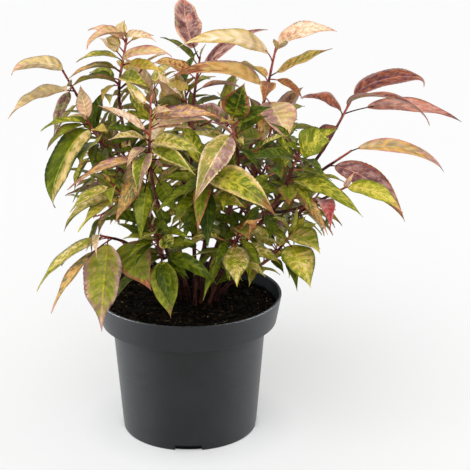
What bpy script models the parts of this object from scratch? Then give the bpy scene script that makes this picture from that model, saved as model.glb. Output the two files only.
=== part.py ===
"""Potted leucothoe: a bushy evergreen shrub with long arching leaves, in a round nursery pot.

Metres, +Z up. The origin is the middle of the pot's flat underside. Stems stand on the soil, boughs
fork off them, and each one ends at a mass of foliage: one leafy stem with twigs and leaves on it.
"""

import math
import random
from collections import namedtuple

import bmesh
import bpy
from mathutils import Matrix, Vector
from mathutils.bvhtree import BVHTree

MM = 0.001
GAP = 0.0003                     # left between pieces that touch

# Pot: a three-litre nursery pot, 190 mm across its rim
POT_HEIGHT = 0.1456
RIM_RADIUS = 0.095
RIM_FOOT_RADIUS = 0.0896         # the rim band's lower edge
RIM_BAND = 0.0287                # how far the band comes down
BODY_TOP_RADIUS = 0.0786         # the wall just under the band
BASE_RADIUS = 0.0694
FOOT_BEVEL = 0.002
WALL = 0.0019
FLOOR = 0.0085                   # thick enough to hold the drain notches
POT_STEPS = 40                   # sides of every round of the pot and the soil
NOTCHES = 4                      # drain notches round the foot
NOTCH_WIDTH = 0.027
NOTCH_HEIGHT = 0.006
NOTCH_DEPTH = 0.010

# Soil
SOIL_TOP = 0.1345                # level ground round the stems
SOIL_FLAT_RADIUS = 0.045
SOIL_EDGE_DROP = 0.002
SOIL_ROUGHNESS = 0.0012
SOIL_SEED = 5

# Stems and boughs
STEM_RADIUS = 0.0024
BOUGH_RADIUS = 0.0018
TIP_RADIUS = 0.0014              # where a limb ends and its mass begins
SHOOT_END_RADIUS = 0.0009
LIMB_SIDES = 5
LIMB_BENDS = 5
FOOT_FLARE = 1.25
FOOT_LEAN = 0.55                 # how far a stem already leans where it leaves the soil
FORK_ANGLE = math.radians(55)    # between a bough's first stretch and the stem it leaves
HANDLE = 0.36                    # a curve's handles, as a share of its span
BOW_STEP = 0.004                 # a limb that would touch another bows out by steps of this

# Leafy stems and twigs
SHOOT_BENDS = 4
TWIG_SIDES = 3
TWIG_RADIUS = 0.0010
TWIG_END_RADIUS = 0.0008
TWIG_LENGTH = 0.042
TWIG_BENDS = 2
TWIG_LEAVES = 3
FIRST_LEAF = 0.10                # share of the leafy stem below its first leaf
LAST_LEAF = 0.95                 # share of it below its last one, whose root is sunk in its end
GOLDEN_ANGLE = math.radians(137.5)

# Leaves
LEAF_WIDTH = 0.30                # of a leaf's length
LEAF_THICKNESS = 0.013           # of a leaf's length
LEAST_THICKNESS = 0.0009
KEEL = 0.10                      # how far the midrib stands below the blade's edges, of half its width
LEAF_TWIST = math.radians(14)    # from base to tip
PETIOLE = 8                      # mm
PETIOLE_RADIUS = 0.0009
ROOT_RADIUS = 0.0004             # a leaf's sunk end, at the middle of what it grows on
WIDEST_RISE = 0.7                # powers of the blade's outline, towards its base and its tip
WIDEST_FALL = 1.3
BLADE_CUTS = (0.14, 0.42, 0.75)  # shares of the blade where the solid has a cross-section
BLADE_START = 0.10               # nearer the stem a leaf may touch its own mass
OUTWARD_TILT = 0.45              # how far upper faces look away from the crown's middle
LIGHT = Vector((0.0, -0.45, 1.0))  # the side that the foremost leaves have turned to
SHADE = Vector((0.0, 0.0, 0.7))    # the others look up and outward
CROWN_MIDDLE = Vector((0.035, 0.0, 0.28))
CLEARANCE = 0.0005               # kept between a leaf and all that it mustn't touch
FLOOR_CLEARANCE = 0.005
ATTEMPTS = 16

# A leaf that is placed by where its tip reaches (mm), with its place along the leafy stem (0 to 1),
# its width and petiole (mm), and its arch and roll (degrees)
Aim = namedtuple("Aim", "along x y z width arch roll petiole", defaults=(20, 30, 0, PETIOLE))

# A limb and the mass at its tip. A stem's start is its place on the soil (mm); a bough's is the limb
# it forks from and how far along that (0 to 1). The limb ends at tip and the leafy stem at end (mm).
# leaves are grown by rule, length is theirs (mm), twigs are the side twigs, and aimed come first.
Shoot = namedtuple("Shoot", "name start tip end leaves length twigs seed colour aimed")

GREEN, LIME, CREAM = (0.10, 0.20, 0.05), (0.34, 0.40, 0.08), (0.62, 0.55, 0.30)
OCHRE, PEACH, PINK = (0.62, 0.43, 0.14), (0.66, 0.36, 0.22), (0.52, 0.20, 0.20)
BRONZE, RED, PURPLE = (0.34, 0.13, 0.08), (0.42, 0.06, 0.09), (0.18, 0.08, 0.11)

SHOOTS = (
    Shoot("crest", (16, 10), (74, 0, 340), (88, -2, 406), 2, 60, 0, 4, OCHRE, (
        Aim(0.72, -7, -60, 413, 26, 52, -20, 16),
        Aim(0.24, -16, -45, 380, 25, 50, -20, 12),
        Aim(1.0, 145, -12, 418, 24, 40, 20, 3),
        Aim(0.50, 138, -55, 411, 22, 6, 14, 10),
        Aim(0.05, 73, -50, 314, 24, 34),
        Aim(0.40, 73, -55, 358, 20, 30, 0),
        Aim(0.45, 113, -15, 352, 14, 40, 0),
        Aim(0.16, 98, -62, 322, 38, 18, 0, 12))),
    Shoot("crest_left", (6, 24), (5, 10, 330), (13, 4, 390), 2, 62, 0, 9, PURPLE, (
        Aim(1.0, -2, 26, 442, 40, 52, 34, 13),
        Aim(0.62, 80, 45, 408, 15, 40, 20, 10),
        Aim(0.62, -37, 25, 377, 22, 56, 0, 8),
        Aim(0.35, -24, 30, 356, 20, 30, 0, 8))),
    Shoot("top_left", (-4, 20), (-66, -5, 345), (-57, -8, 413), 3, 58, 1, 5, OCHRE, (
        Aim(1.0, -93, -42, 407, 22, 84, -10, 4),
        Aim(0.96, -96, 8, 415, 13, 50, -10, 4),
        Aim(0.97, -28, -32, 412, 13, 88, 0, 4),
        Aim(0.62, -13, -25, 396, 16, 78, 0, 6),
        Aim(0.66, -105, -25, 391, 18, 46, 0, 6),
        Aim(0.50, -111, -55, 381, 18, 34, 0, 6),
        Aim(0.36, -103, 5, 366, 18, 34),
        Aim(0.28, -109, -70, 375, 19, 32),
        Aim(0.40, -33, -60, 374, 22, 32),
        Aim(0.10, -71, -60, 358, 18, 30))),
    Shoot("far_left", ("top_left", 0.62), (-92, -12, 330), (-119, -20, 382), 1, 56, 0, 3, CREAM, (
        Aim(1.0, -167, -30, 379, 22, 88, -20, 4),
        Aim(0.62, -173, -25, 335, 24, 42, -10, 8),
        Aim(0.72, -127, -45, 324, 22, 14, 0, 6),
        Aim(0.40, -132, 5, 310, 17, 16))),
    Shoot("left", ("top_left", 0.50), (-72, -40, 300), (-93, -60, 342), 3, 66, 1, 9, GREEN, (
        Aim(0.95, -130, -80, 319, 18, 48),
        Aim(0.80, -122, -95, 267, 36, 86),
        Aim(0.92, -100, -40, 372, 20, 24),
        Aim(0.45, -96, -125, 311, 34, 40, -12),
        Aim(0.62, -106, -75, 345, 22, 34))),
    Shoot("front_left", (0, 2), (-33, -72, 298), (-31, -85, 361), 4, 64, 0, 4, PINK, (
        Aim(0.86, 35, -100, 356, 19, 40),
        Aim(0.62, -78, -105, 369, 15, 18),
        Aim(0.50, -69, -115, 339, 17, 26),
        Aim(0.46, 18, -120, 326, 22, 40),
        Aim(0.36, 11, -130, 310, 19, 34),
        Aim(0.28, -41, -140, 291, 23, 40),
        Aim(0.15, -107, -125, 294, 19, 34),
        Aim(0.20, -17, -50, 346, 22, 30),
        Aim(0.08, -41, -122, 244, 27, 20, 0, 24),
        Aim(0.04, -9, -86, 259, 24, 24, 0, 16),
        Aim(0.02, -64, -96, 262, 22, 24, 0, 16))),
    Shoot("left_low", ("front_left", 0.60), (-46, -84, 262), (-68, -108, 296), 2, 64, 0, 6, LIME, (
        Aim(0.85, -105, -130, 274, 20, 40),
        Aim(0.60, -110, -110, 258, 20, 40),
        Aim(0.50, -98, -140, 255, 24, 36),
        Aim(0.10, -75, -125, 263, 26, 40),
        Aim(0.25, -52, -112, 309, 24, 30))),
    Shoot("pot_left", (-10, 8), (-57, -48, 214), (-82, -84, 236), 1, 66, 0, 7, BRONZE, (
        Aim(0.75, -81, -104, 145, 44, 16, 0, 6),
        Aim(0.28, -32, -112, 190, 38, 24, 0, 8),
        Aim(0.90, -143, -95, 183, 20, 34, 0, 6),
        Aim(0.60, -128, -112, 167, 17, 30, 0, 24),
        Aim(0.50, -150, -60, 197, 14, 40, 0, 24),
        Aim(1.0, -81, -130, 230, 12, 44, 0, 4))),
    Shoot("pot_front", ("front_left", 0.42), (-22, -62, 205), (-30, -94, 248), 5, 66, 0, 3, GREEN, (
        Aim(0.30, -15, -90, 153, 28, 14),
        Aim(0.10, -75, -48, 150, 24, 26),
        Aim(0.80, -41, -128, 244, 27, 30),
        Aim(0.90, -14, -92, 226, 22, 50),
        Aim(1.0, -13, -84, 256, 22, 50),
        Aim(0.60, -58, -120, 240, 22, 40))),
    Shoot("front", (12, -4), (50, -68, 300), (44, -76, 346), 3, 66, 0, 5, CREAM, (
        Aim(1.0, 56, -92, 387, 29, 12),
        Aim(0.85, 7, -60, 357, 24, 50),
        Aim(0.80, 10, -135, 285, 28, 34, -10),
        Aim(0.66, 19, -100, 325, 15, 30),
        Aim(0.60, 73, -40, 326, 24, 30))),
    Shoot("front_low", (6, -8), (22, -68, 262), (18, -88, 304), 5, 72, 1, 8, GREEN, (
        Aim(0.80, 85, -140, 273, 31, 50),
        Aim(0.55, 22, -125, 236, 22, 24),
        Aim(0.70, 13, -140, 258, 21, 44),
        Aim(0.40, -10, -118, 262, 27, 40),
        Aim(0.30, -2, -100, 235, 22, 34),
        Aim(0.10, -15, -108, 241, 24, 34),
        Aim(0.12, 57, -118, 273, 24, 34))),
    Shoot("right_top", (24, 18), (134, -10, 300), (162, -14, 354), 0, 50, 0, 4, RED, (
        Aim(1.0, 234, 15, 357, 22, 88, 12, 6),
        Aim(0.80, 231, -45, 339, 18, 80, 10, 6),
        Aim(0.72, 269, -10, 328, 21, 32, 15, 22),
        Aim(0.66, 110, -30, 357, 24, 60, 0, 8))),
    Shoot("right", ("right_top", 0.66), (127, -45, 286), (158, -60, 313), 0, 46, 0, 6, RED, (
        Aim(1.0, 247, -60, 292, 19, 52, 10),
        Aim(0.35, 207, -100, 255, 28, 44, 12))),
    Shoot("right_low", ("right_top", 0.58), (124, -62, 262), (150, -84, 283), 0, 40, 0, 2, LIME, (
        Aim(1.0, 202, -125, 272, 24, 44, 10),
        Aim(0.10, 134, -150, 264, 22, 30, 0, 10),
        Aim(0.20, 132, -30, 222, 20, 34))),
    Shoot("front_right", (20, -6), (94, -60, 276), (109, -72, 318), 4, 64, 1, 9, GREEN, (
        Aim(1.0, 136, -78, 327, 34, 88, 0, 4),
        Aim(0.85, 145, -50, 333, 17, 60, 0, 24),
        Aim(0.75, 61, -110, 320, 21, 30),
        Aim(0.20, 166, -120, 266, 25, 30),
        Aim(0.0, 165, -80, 245, 15, 42, 0, 34),
        Aim(0.04, 135, -95, 240, 16, 34),
        Aim(0.12, 98, -92, 268, 24, 34))),
    Shoot("pot_right", (28, 4), (84, -42, 200), (100, -60, 226), 4, 60, 0, 5, LIME, (
        Aim(0.90, 128, -98, 222, 28, 60, 0, 6),
        Aim(0.84, 119, -105, 190, 33, 30, 0, 10),
        Aim(0.30, 79, -60, 209, 11, 24))),
    Shoot("centre_low", ("front", 0.46), (38, -50, 206), (50, -76, 232), 4, 60, 0, 7, LIME, (
        Aim(0.75, 49, -115, 195, 28, 30),
        Aim(0.45, 40, -95, 195, 22, 30),
        Aim(0.60, 73, -85, 206, 22, 30),
        Aim(1.0, 61, -135, 247, 24, 44),
        Aim(0.90, 73, -112, 252, 22, 50),
        Aim(1.0, 73, -95, 265, 22, 30))),
    Shoot("middle_left", (-9, 15), (-48, 20, 246), (-72, 26, 300), 8, 66, 1, 8, BRONZE, ()),
    Shoot("middle_right", (27, 12), (66, 22, 244), (88, 26, 294), 8, 66, 1, 5, GREEN, ()),
    Shoot("middle_back", (5, 42), (2, 48, 284), (-4, 58, 346), 8, 66, 1, 9, PEACH, ()),
    Shoot("back_left", (-2, 30), (-62, 54, 250), (-88, 84, 298), 9, 70, 2, 3, GREEN, ()),
    Shoot("back_left_low", ("back_left", 0.52), (-70, 88, 206), (-94, 122, 226), 8, 70, 1, 4, BRONZE, ()),
    Shoot("back_top", ("back", 0.60), (-22, 70, 278), (-38, 98, 334), 9, 72, 1, 6, CREAM, ()),
    Shoot("back", (12, 36), (26, 88, 250), (36, 130, 306), 9, 76, 2, 7, GREEN, ()),
    Shoot("back_low", ("back", 0.45), (14, 108, 196), (16, 154, 220), 8, 76, 1, 5, LIME, ()),
    Shoot("back_right", (24, 32), (70, 58, 256), (88, 86, 304), 9, 70, 1, 1, PURPLE, ()),
    Shoot("back_right_low", ("back_right", 0.48), (84, 88, 204), (110, 118, 226), 8, 70, 1, 2, GREEN, ()),
    Shoot("side_right", ("right_top", 0.48), (106, 52, 204), (124, 76, 222), 8, 58, 1, 6, BRONZE, ()),
)

Leaf = namedtuple("Leaf", "root first last tip side width thickness petiole roll")
Solid = namedtuple("Solid", "vertices faces")
Placed = namedtuple("Placed", "mass whole blade")


# Curves

def bezier(ends, share):
    """Point on a cubic curve given by its start, two handles and end."""
    start, first, last, end = ends
    back = 1.0 - share
    return (start * back ** 3 + first * 3 * back ** 2 * share
            + last * 3 * back * share ** 2 + end * share ** 3)


def bezier_way(ends, share):
    """Unit tangent of that curve."""
    start, first, last, end = ends
    back = 1.0 - share
    way = ((first - start) * back ** 2 + (last - first) * 2 * back * share + (end - last) * share ** 2)
    return way.normalized()


def curve_points(start, start_way, end, end_way, bends):
    """Points of a smooth curve that leaves start along start_way and reaches end along end_way."""
    handle = (end - start).length * HANDLE
    ends = (start, start + start_way * handle, end - end_way * handle, end)
    return [bezier(ends, step / bends) for step in range(bends + 1)]


def point_on(path, share):
    """Point at a share of the way along a path of points."""
    place = min(share, 1.0) * (len(path) - 1)
    index = min(int(place), len(path) - 2)
    return path[index].lerp(path[index + 1], place - index)


def way_on(path, share):
    """Direction of the path there."""
    index = min(int(min(share, 1.0) * (len(path) - 1)), len(path) - 2)
    return (path[index + 1] - path[index]).normalized()


def across(way):
    """A unit vector square to way."""
    side = way.cross(Vector((0, 0, 1)))
    return side.normalized() if side.length > 0.01 else Vector((1, 0, 0))


# Solids as lists of points and triangles

def tube(path, start_radius, end_radius, sides, ends=(None, None)):
    """Tapering limb along a path. ends gives the ways its two flat ends face, where that matters."""
    vertices = []
    last = len(path) - 1
    side = across((path[1] - path[0]).normalized())
    for index, point in enumerate(path):
        way = (path[min(index + 1, last)] - path[max(index - 1, 0)]).normalized()
        if index == 0 and ends[0]:
            way = ends[0]
        if index == last and ends[1]:
            way = ends[1]
        side = (side - way * side.dot(way)).normalized()
        other = way.cross(side)
        radius = start_radius + (end_radius - start_radius) * index / last
        for corner in range(sides):
            turn = 2 * math.pi * corner / sides
            vertices.append(point + (side * math.cos(turn) + other * math.sin(turn)) * radius)
    faces = []
    for index in range(last):
        for corner in range(sides):
            after = (corner + 1) % sides
            low, high = index * sides, (index + 1) * sides
            faces.append((low + corner, low + after, high + after))
            faces.append((low + corner, high + after, high + corner))
    for corner in range(1, sides - 1):
        faces.append((0, corner + 1, corner))
        faces.append((last * sides, last * sides + corner, last * sides + corner + 1))
    return Solid(vertices, faces)


def blade_share(share):
    """Half-width of a blade at a share of its length, as a share of its greatest."""
    widest = WIDEST_RISE / (WIDEST_RISE + WIDEST_FALL)
    return (share / widest) ** WIDEST_RISE * ((1 - share) / (1 - widest)) ** WIDEST_FALL


def leaf_solid(leaf, first_cut=0.0, spare=0.0):
    """Closed solid of a leaf, from first_cut along it to its tip, grown by spare all round.

    Each cross-section is a flat triangle: the two edges of the blade, and its midrib below.
    """
    ends = (leaf.root, leaf.first, leaf.last, leaf.tip)
    cuts = [(0.0, ROOT_RADIUS), (leaf.petiole, PETIOLE_RADIUS)]
    cuts += [(leaf.petiole + (1 - leaf.petiole) * share, leaf.width / 2 * blade_share(share))
             for share in BLADE_CUTS]
    if first_cut:
        cuts = [(max(first_cut, leaf.petiole), PETIOLE_RADIUS)] + cuts[2:]
    vertices = []
    for share, half_width in cuts:
        point = bezier(ends, share)
        way = bezier_way(ends, share)
        side = (leaf.side - way * leaf.side.dot(way)).normalized()
        side = Matrix.Rotation(leaf.roll + LEAF_TWIST * share, 3, way) @ side
        up = side.cross(way)
        deep = min(half_width * 1.5, leaf.thickness + half_width * KEEL)
        reach = side * (half_width + spare)
        vertices.append(point - reach + up * spare)
        vertices.append(point + reach + up * spare)
        vertices.append(point - up * (deep + spare))
    faces = [(0, 1, 2)]
    last = (len(cuts) - 1) * 3
    for low in range(0, last, 3):
        high = low + 3
        for corner in range(3):
            after = (corner + 1) % 3
            faces.append((low + corner, high + after, low + after))
            faces.append((low + corner, high + corner, high + after))
    vertices.append(leaf.tip + bezier_way(ends, 1.0) * spare)
    faces += [(last + corner, len(vertices) - 1, last + (corner + 1) % 3) for corner in range(3)]
    return Solid(vertices, faces)


class Space:
    """The room that a solid takes, for finding what would touch it."""

    def __init__(self, solid):
        self.tree = BVHTree.FromPolygons(solid.vertices, solid.faces)
        self.low = [min(point[axis] for point in solid.vertices) for axis in range(3)]
        self.high = [max(point[axis] for point in solid.vertices) for axis in range(3)]

    def touches(self, other):
        for axis in range(3):
            if self.low[axis] > other.high[axis] or self.high[axis] < other.low[axis]:
                return False
        return bool(self.tree.overlap(other.tree))


# Growth

def metres(place):
    return Vector(place) * MM


def limb_path(shoot, limbs, bow):
    """Points of a shoot's limb, its first and last ways, and its radius at the start."""
    tip, end = metres(shoot.tip), metres(shoot.end)
    if isinstance(shoot.start[0], str):
        parent, share = shoot.start
        path, start_radius = limbs[parent][:2]
        fork, axis = point_on(path, share), way_on(path, share)
        parent_radius = start_radius + (TIP_RADIUS - start_radius) * share
        radius = BOUGH_RADIUS
        outward = tip - fork
        outward = (outward - axis * outward.dot(axis)).normalized()
        start_way = outward * math.sin(FORK_ANGLE) + axis * math.cos(FORK_ANGLE)
        stand_off = (parent_radius + GAP + radius * math.cos(FORK_ANGLE)) / math.sin(FORK_ANGLE)
        start = fork + start_way * stand_off
        first_face = start_way
    else:
        start = Vector((shoot.start[0] * MM, shoot.start[1] * MM, SOIL_TOP + GAP))
        radius = STEM_RADIUS
        start_way = Vector((0, 0, 1)).lerp((tip - start).normalized(), FOOT_LEAN).normalized()
        first_face = Vector((0, 0, 1))
    end_way = ((tip - start).normalized() + (end - tip).normalized()).normalized()
    path = curve_points(start, start_way, tip, end_way, LIMB_BENDS)
    swing = across(end_way)
    for index, point in enumerate(path):
        point += swing * (bow * BOW_STEP * math.sin(math.pi * index / LIMB_BENDS))
    return path, radius, first_face, end_way


def make_limbs():
    """Every limb, bowed aside where it would touch one that is there already."""
    limbs, spaces, solids = {}, [], {}
    for shoot in sorted(SHOOTS, key=lambda each: isinstance(each.start[0], str)):
        for attempt in range(ATTEMPTS):
            bow = (attempt + 1) // 2 * (1 if attempt % 2 else -1)
            path, radius, first_face, end_way = limb_path(shoot, limbs, bow)
            wide = tube(path, radius + GAP, TIP_RADIUS + GAP, LIMB_SIDES, (first_face, end_way))
            space = Space(wide)
            parent = shoot.start[0] if isinstance(shoot.start[0], str) else None
            if not any(space.touches(other) for name, other in spaces if name != parent):
                break
        flare = FOOT_FLARE if parent is None else 1.0
        solid = tube(path, radius * flare, TIP_RADIUS, LIMB_SIDES, (first_face, end_way))
        limbs[shoot.name] = (path, radius, end_way)
        solids[shoot.name] = solid
        spaces.append((shoot.name, Space(solid)))
    return limbs, solids


def leaf_between(root, tip, width, arch, roll, petiole, turned):
    """Leaf that leaves root, arches and reaches tip. Its upper face looks outward and to turned."""
    span = tip - root
    along = span.normalized()
    outward = Vector((tip.x - CROWN_MIDDLE.x, tip.y - CROWN_MIDDLE.y, 0.0)).normalized()
    upward = (turned + outward * OUTWARD_TILT).normalized()
    side = along.cross(upward).normalized()
    lift = side.cross(along)
    handle = span.length * HANDLE
    rise, run = math.sin(arch), math.cos(arch)
    first = root + (along * run + lift * rise) * handle
    last = tip - (along * run - lift * rise) * handle
    thickness = max(LEAST_THICKNESS, span.length * LEAF_THICKNESS)
    return Leaf(root, first, last, tip, side, width, thickness, petiole / span.length, roll)


def aimed_leaf(shoot, path, aim, attempt):
    """Leaf of a shoot that reaches the place it is aimed at, nearer or further where it must."""
    root = point_on(path, aim.along * LAST_LEAF)
    step = (attempt + 1) // 2 * (1 if attempt % 2 else -1)
    tip = metres((aim.x, aim.y, aim.z)) + Vector((0, step * 5 * MM, 0))
    roll = math.radians(aim.roll + 9 * step)
    petiole = aim.petiole * MM
    return leaf_between(root, tip, aim.width * MM, math.radians(aim.arch), roll, petiole, LIGHT)


def grown_leaf(path, length, count, index, seed, attempt):
    """Leaf of a leafy stem or twig by rule: they turn round it, and lower ones droop more."""
    chance = random.Random(seed * 1000 + index)
    along = FIRST_LEAF + (1 - FIRST_LEAF) * (index + 0.6) / count
    root, axis = point_on(path, along), way_on(path, along)
    step = (attempt + 1) // 2 * (1 if attempt % 2 else -1)
    turn = GOLDEN_ANGLE * index + seed + chance.uniform(-0.3, 0.3) + 0.33 * step
    outward = Matrix.Rotation(turn, 3, axis) @ across(axis)
    rise = math.radians(8 + 38 * along + chance.uniform(-8, 8))
    way = outward * math.cos(rise) + axis * math.sin(rise)
    way.z -= 0.55 * (1 - 0.7 * along) + chance.uniform(-0.1, 0.15)
    size = length * chance.uniform(0.85, 1.12) * (1 - 0.25 * along) * (1 - 0.02 * attempt) * MM
    tip = root + way.normalized() * size
    width = size * LEAF_WIDTH * chance.uniform(0.85, 1.15)
    arch = math.radians(chance.uniform(22, 42))
    roll = math.radians(chance.uniform(-22, 22))
    return leaf_between(root, tip, width, arch, roll, PETIOLE * MM, SHADE)


def twig_path(path, index, seed, attempt):
    """Points of a side twig of a leafy stem."""
    chance = random.Random(seed * 1000 + 500 + index)
    along = 0.25 + 0.3 * index + chance.uniform(-0.08, 0.08)
    root, axis = point_on(path, along), way_on(path, along)
    step = (attempt + 1) // 2 * (1 if attempt % 2 else -1)
    turn = seed * 2 + math.pi * index + chance.uniform(-0.4, 0.4) + 0.5 * step
    outward = Matrix.Rotation(turn, 3, axis) @ across(axis)
    way = (outward * 0.9 + axis * 0.45).normalized()
    end = root + way * TWIG_LENGTH * chance.uniform(0.85, 1.1)
    return curve_points(root, way, end, (way + Vector((0, 0, 0.4))).normalized(), TWIG_BENDS)


def place_leaf(mass, make, placed):
    """First form of a leaf that touches nothing, as its solid, or None where every one would."""
    for attempt in range(ATTEMPTS):
        leaf = make(attempt)
        whole = leaf_solid(leaf, 0.0, CLEARANCE)
        if min(point.z for point in whole.vertices) < FLOOR_CLEARANCE:
            continue
        space = Space(whole)
        blade = Space(leaf_solid(leaf, leaf.petiole + BLADE_START, CLEARANCE))
        if any(blade.touches(other.blade) if other.mass == mass else space.touches(other.whole)
               for other in placed):
            continue
        placed.append(Placed(mass, space, blade))
        return leaf_solid(leaf)
    return None


def grow_masses(limbs, fixed):
    """Solids of every mass: its leafy stem first, then twigs and leaves."""
    placed = [Placed(None, space, space) for space in fixed]
    shoots, masses = {}, {}
    for shoot in SHOOTS:
        _, _, end_way = limbs[shoot.name]
        start = metres(shoot.tip) + end_way * GAP
        end = metres(shoot.end)
        path = curve_points(start, end_way, end, (end - start).normalized(), SHOOT_BENDS)
        solid = tube(path, TIP_RADIUS, SHOOT_END_RADIUS, TWIG_SIDES, (end_way, None))
        space = Space(solid)
        placed.append(Placed(shoot.name, space, space))
        shoots[shoot.name] = path
        masses[shoot.name] = [solid]
    for shoot in SHOOTS:
        path = shoots[shoot.name]
        for aim in shoot.aimed:
            solid = place_leaf(shoot.name, lambda attempt: aimed_leaf(shoot, path, aim, attempt), placed)
            if solid:
                masses[shoot.name].append(solid)
    for shoot in SHOOTS:
        path = shoots[shoot.name]
        for index in range(shoot.leaves):
            solid = place_leaf(
                shoot.name,
                lambda attempt: grown_leaf(path, shoot.length, shoot.leaves, index, shoot.seed, attempt),
                placed)
            if solid:
                masses[shoot.name].append(solid)
        for index in range(shoot.twigs):
            masses[shoot.name] += grow_twig(shoot, path, index, placed)
    return masses


def grow_twig(shoot, path, index, placed):
    """Solids of one side twig and its leaves, or none where it would touch something."""
    for attempt in range(ATTEMPTS):
        twig = twig_path(path, index, shoot.seed, attempt)
        wide = Space(tube(twig, TWIG_RADIUS + GAP, TWIG_END_RADIUS + GAP, TWIG_SIDES))
        if not any(wide.touches(other.blade if other.mass == shoot.name else other.whole)
                   for other in placed if other.mass != shoot.name or other.blade is not other.whole):
            break
    else:
        return []
    placed.append(Placed(shoot.name, wide, wide))
    solids = [tube(twig, TWIG_RADIUS, TWIG_END_RADIUS, TWIG_SIDES)]
    for number in range(TWIG_LEAVES):
        seed = shoot.seed + 40 + index
        solid = place_leaf(
            shoot.name,
            lambda attempt: grown_leaf(twig, shoot.length * 0.8, TWIG_LEAVES, number, seed, attempt),
            placed)
        if solid:
            solids.append(solid)
    return solids


# Objects

def material(name, colour, roughness):
    made = bpy.data.materials.new(name)
    made.use_nodes = True
    shader = made.node_tree.nodes["Principled BSDF"]
    shader.inputs["Base Color"].default_value = (*colour, 1.0)
    shader.inputs["Roughness"].default_value = roughness
    made.diffuse_color = (*colour, 1.0)
    return made


def solid_object(name, solid):
    """Object of one closed solid, its faces pointing out."""
    mesh = bpy.data.meshes.new(name)
    mesh.from_pydata([tuple(point) for point in solid.vertices], [], solid.faces)
    work = bmesh.new()
    work.from_mesh(mesh)
    bmesh.ops.recalc_face_normals(work, faces=work.faces)
    work.to_mesh(mesh)
    work.free()
    return bpy.data.objects.new(name, mesh)


def turned(name, profile):
    """Object turned from a closed-off profile of (radius, height) points about the Z axis."""
    work = bmesh.new()
    points = [work.verts.new((radius, 0, height)) for radius, height in profile]
    edges = [work.edges.new(pair) for pair in zip(points, points[1:])]
    bmesh.ops.spin(work, geom=points + edges, cent=(0, 0, 0), axis=(0, 0, 1),
                   angle=2 * math.pi, steps=POT_STEPS)
    bmesh.ops.remove_doubles(work, verts=work.verts, dist=1e-6)
    bmesh.ops.recalc_face_normals(work, faces=work.faces)
    mesh = bpy.data.meshes.new(name)
    work.to_mesh(mesh)
    work.free()
    return bpy.data.objects.new(name, mesh)


def smooth(item, angle):
    item.data.shade_smooth()
    item.data.set_sharp_from_angle(angle=math.radians(angle))


def space_of(item):
    """Room taken by an object that stands unturned at the origin."""
    mesh = item.data
    mesh.calc_loop_triangles()
    solid = Solid([vertex.co.copy() for vertex in mesh.vertices],
                  [tuple(triangle.vertices) for triangle in mesh.loop_triangles])
    return Space(solid)


def make_pot():
    """Open pot with an overhanging rim band and drain notches in its foot."""
    band_foot = POT_HEIGHT - RIM_BAND
    lip = RIM_RADIUS - 1.5 * WALL
    inner_top = BODY_TOP_RADIUS - WALL
    inner_base = BASE_RADIUS - WALL
    step = band_foot + WALL
    profile = [
        (0, 0), (BASE_RADIUS - FOOT_BEVEL, 0), (BASE_RADIUS, FOOT_BEVEL),
        (BODY_TOP_RADIUS, band_foot), (RIM_FOOT_RADIUS, band_foot),
        (RIM_RADIUS, POT_HEIGHT), (lip, POT_HEIGHT),
        (RIM_FOOT_RADIUS - WALL, step), (inner_top, step), (inner_base, FLOOR), (0, FLOOR)]
    pot = turned("pot", profile)
    bpy.context.scene.collection.objects.link(pot)
    smooth(pot, 30)
    pot.data.materials.append(material("pot_plastic", (0.045, 0.046, 0.050), 0.5))
    for number in range(NOTCHES):
        turn = 2 * math.pi * number / NOTCHES
        middle = BASE_RADIUS + FOOT_BEVEL - NOTCH_DEPTH / 2
        bpy.ops.mesh.primitive_cube_add(
            size=1, location=(middle * math.sin(turn), -middle * math.cos(turn), 0))
        cutter = bpy.context.object
        cutter.name = f"notch_cutter_{number + 1}"
        cutter.rotation_euler.z = turn
        for corner in cutter.data.vertices:
            corner.co.x *= NOTCH_WIDTH
            corner.co.y *= NOTCH_DEPTH
            corner.co.z *= 2 * NOTCH_HEIGHT
        cutter.hide_render = True
        cutter.display_type = "WIRE"
        cut = pot.modifiers.new(f"drain_notch_{number + 1}", "BOOLEAN")
        cut.operation = "DIFFERENCE"
        cut.object = cutter
    return pot


def make_soil():
    """Fill of potting soil, level round the stems and rough towards the wall."""
    band_foot = POT_HEIGHT - RIM_BAND
    step = band_foot + WALL + GAP
    inner_top = BODY_TOP_RADIUS - WALL - GAP
    inner_base = BASE_RADIUS - WALL - GAP
    slope = (RIM_RADIUS - RIM_FOOT_RADIUS) / RIM_BAND
    edge_height = SOIL_TOP - SOIL_EDGE_DROP
    edge = RIM_FOOT_RADIUS - WALL - 2 * GAP + slope * (edge_height - step)
    foot = RIM_FOOT_RADIUS - WALL - 2 * GAP
    profile = [
        (0, FLOOR + GAP), (inner_base, FLOOR + GAP), (inner_top, step), (foot, step),
        (edge, edge_height), (0.86 * edge, SOIL_TOP - 0.5 * SOIL_EDGE_DROP),
        (0.68 * edge, SOIL_TOP), (SOIL_FLAT_RADIUS, SOIL_TOP), (0, SOIL_TOP)]
    soil = turned("soil", profile)
    chance = random.Random(SOIL_SEED)
    for vertex in soil.data.vertices:
        radius = math.hypot(vertex.co.x, vertex.co.y)
        if vertex.co.z > edge_height - 0.0001 and radius > SOIL_FLAT_RADIUS + GAP:
            vertex.co.z += chance.uniform(-SOIL_ROUGHNESS, SOIL_ROUGHNESS)
    bpy.context.scene.collection.objects.link(soil)
    smooth(soil, 40)
    soil.data.materials.append(material("soil", (0.020, 0.014, 0.010), 0.95))
    return soil


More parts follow.
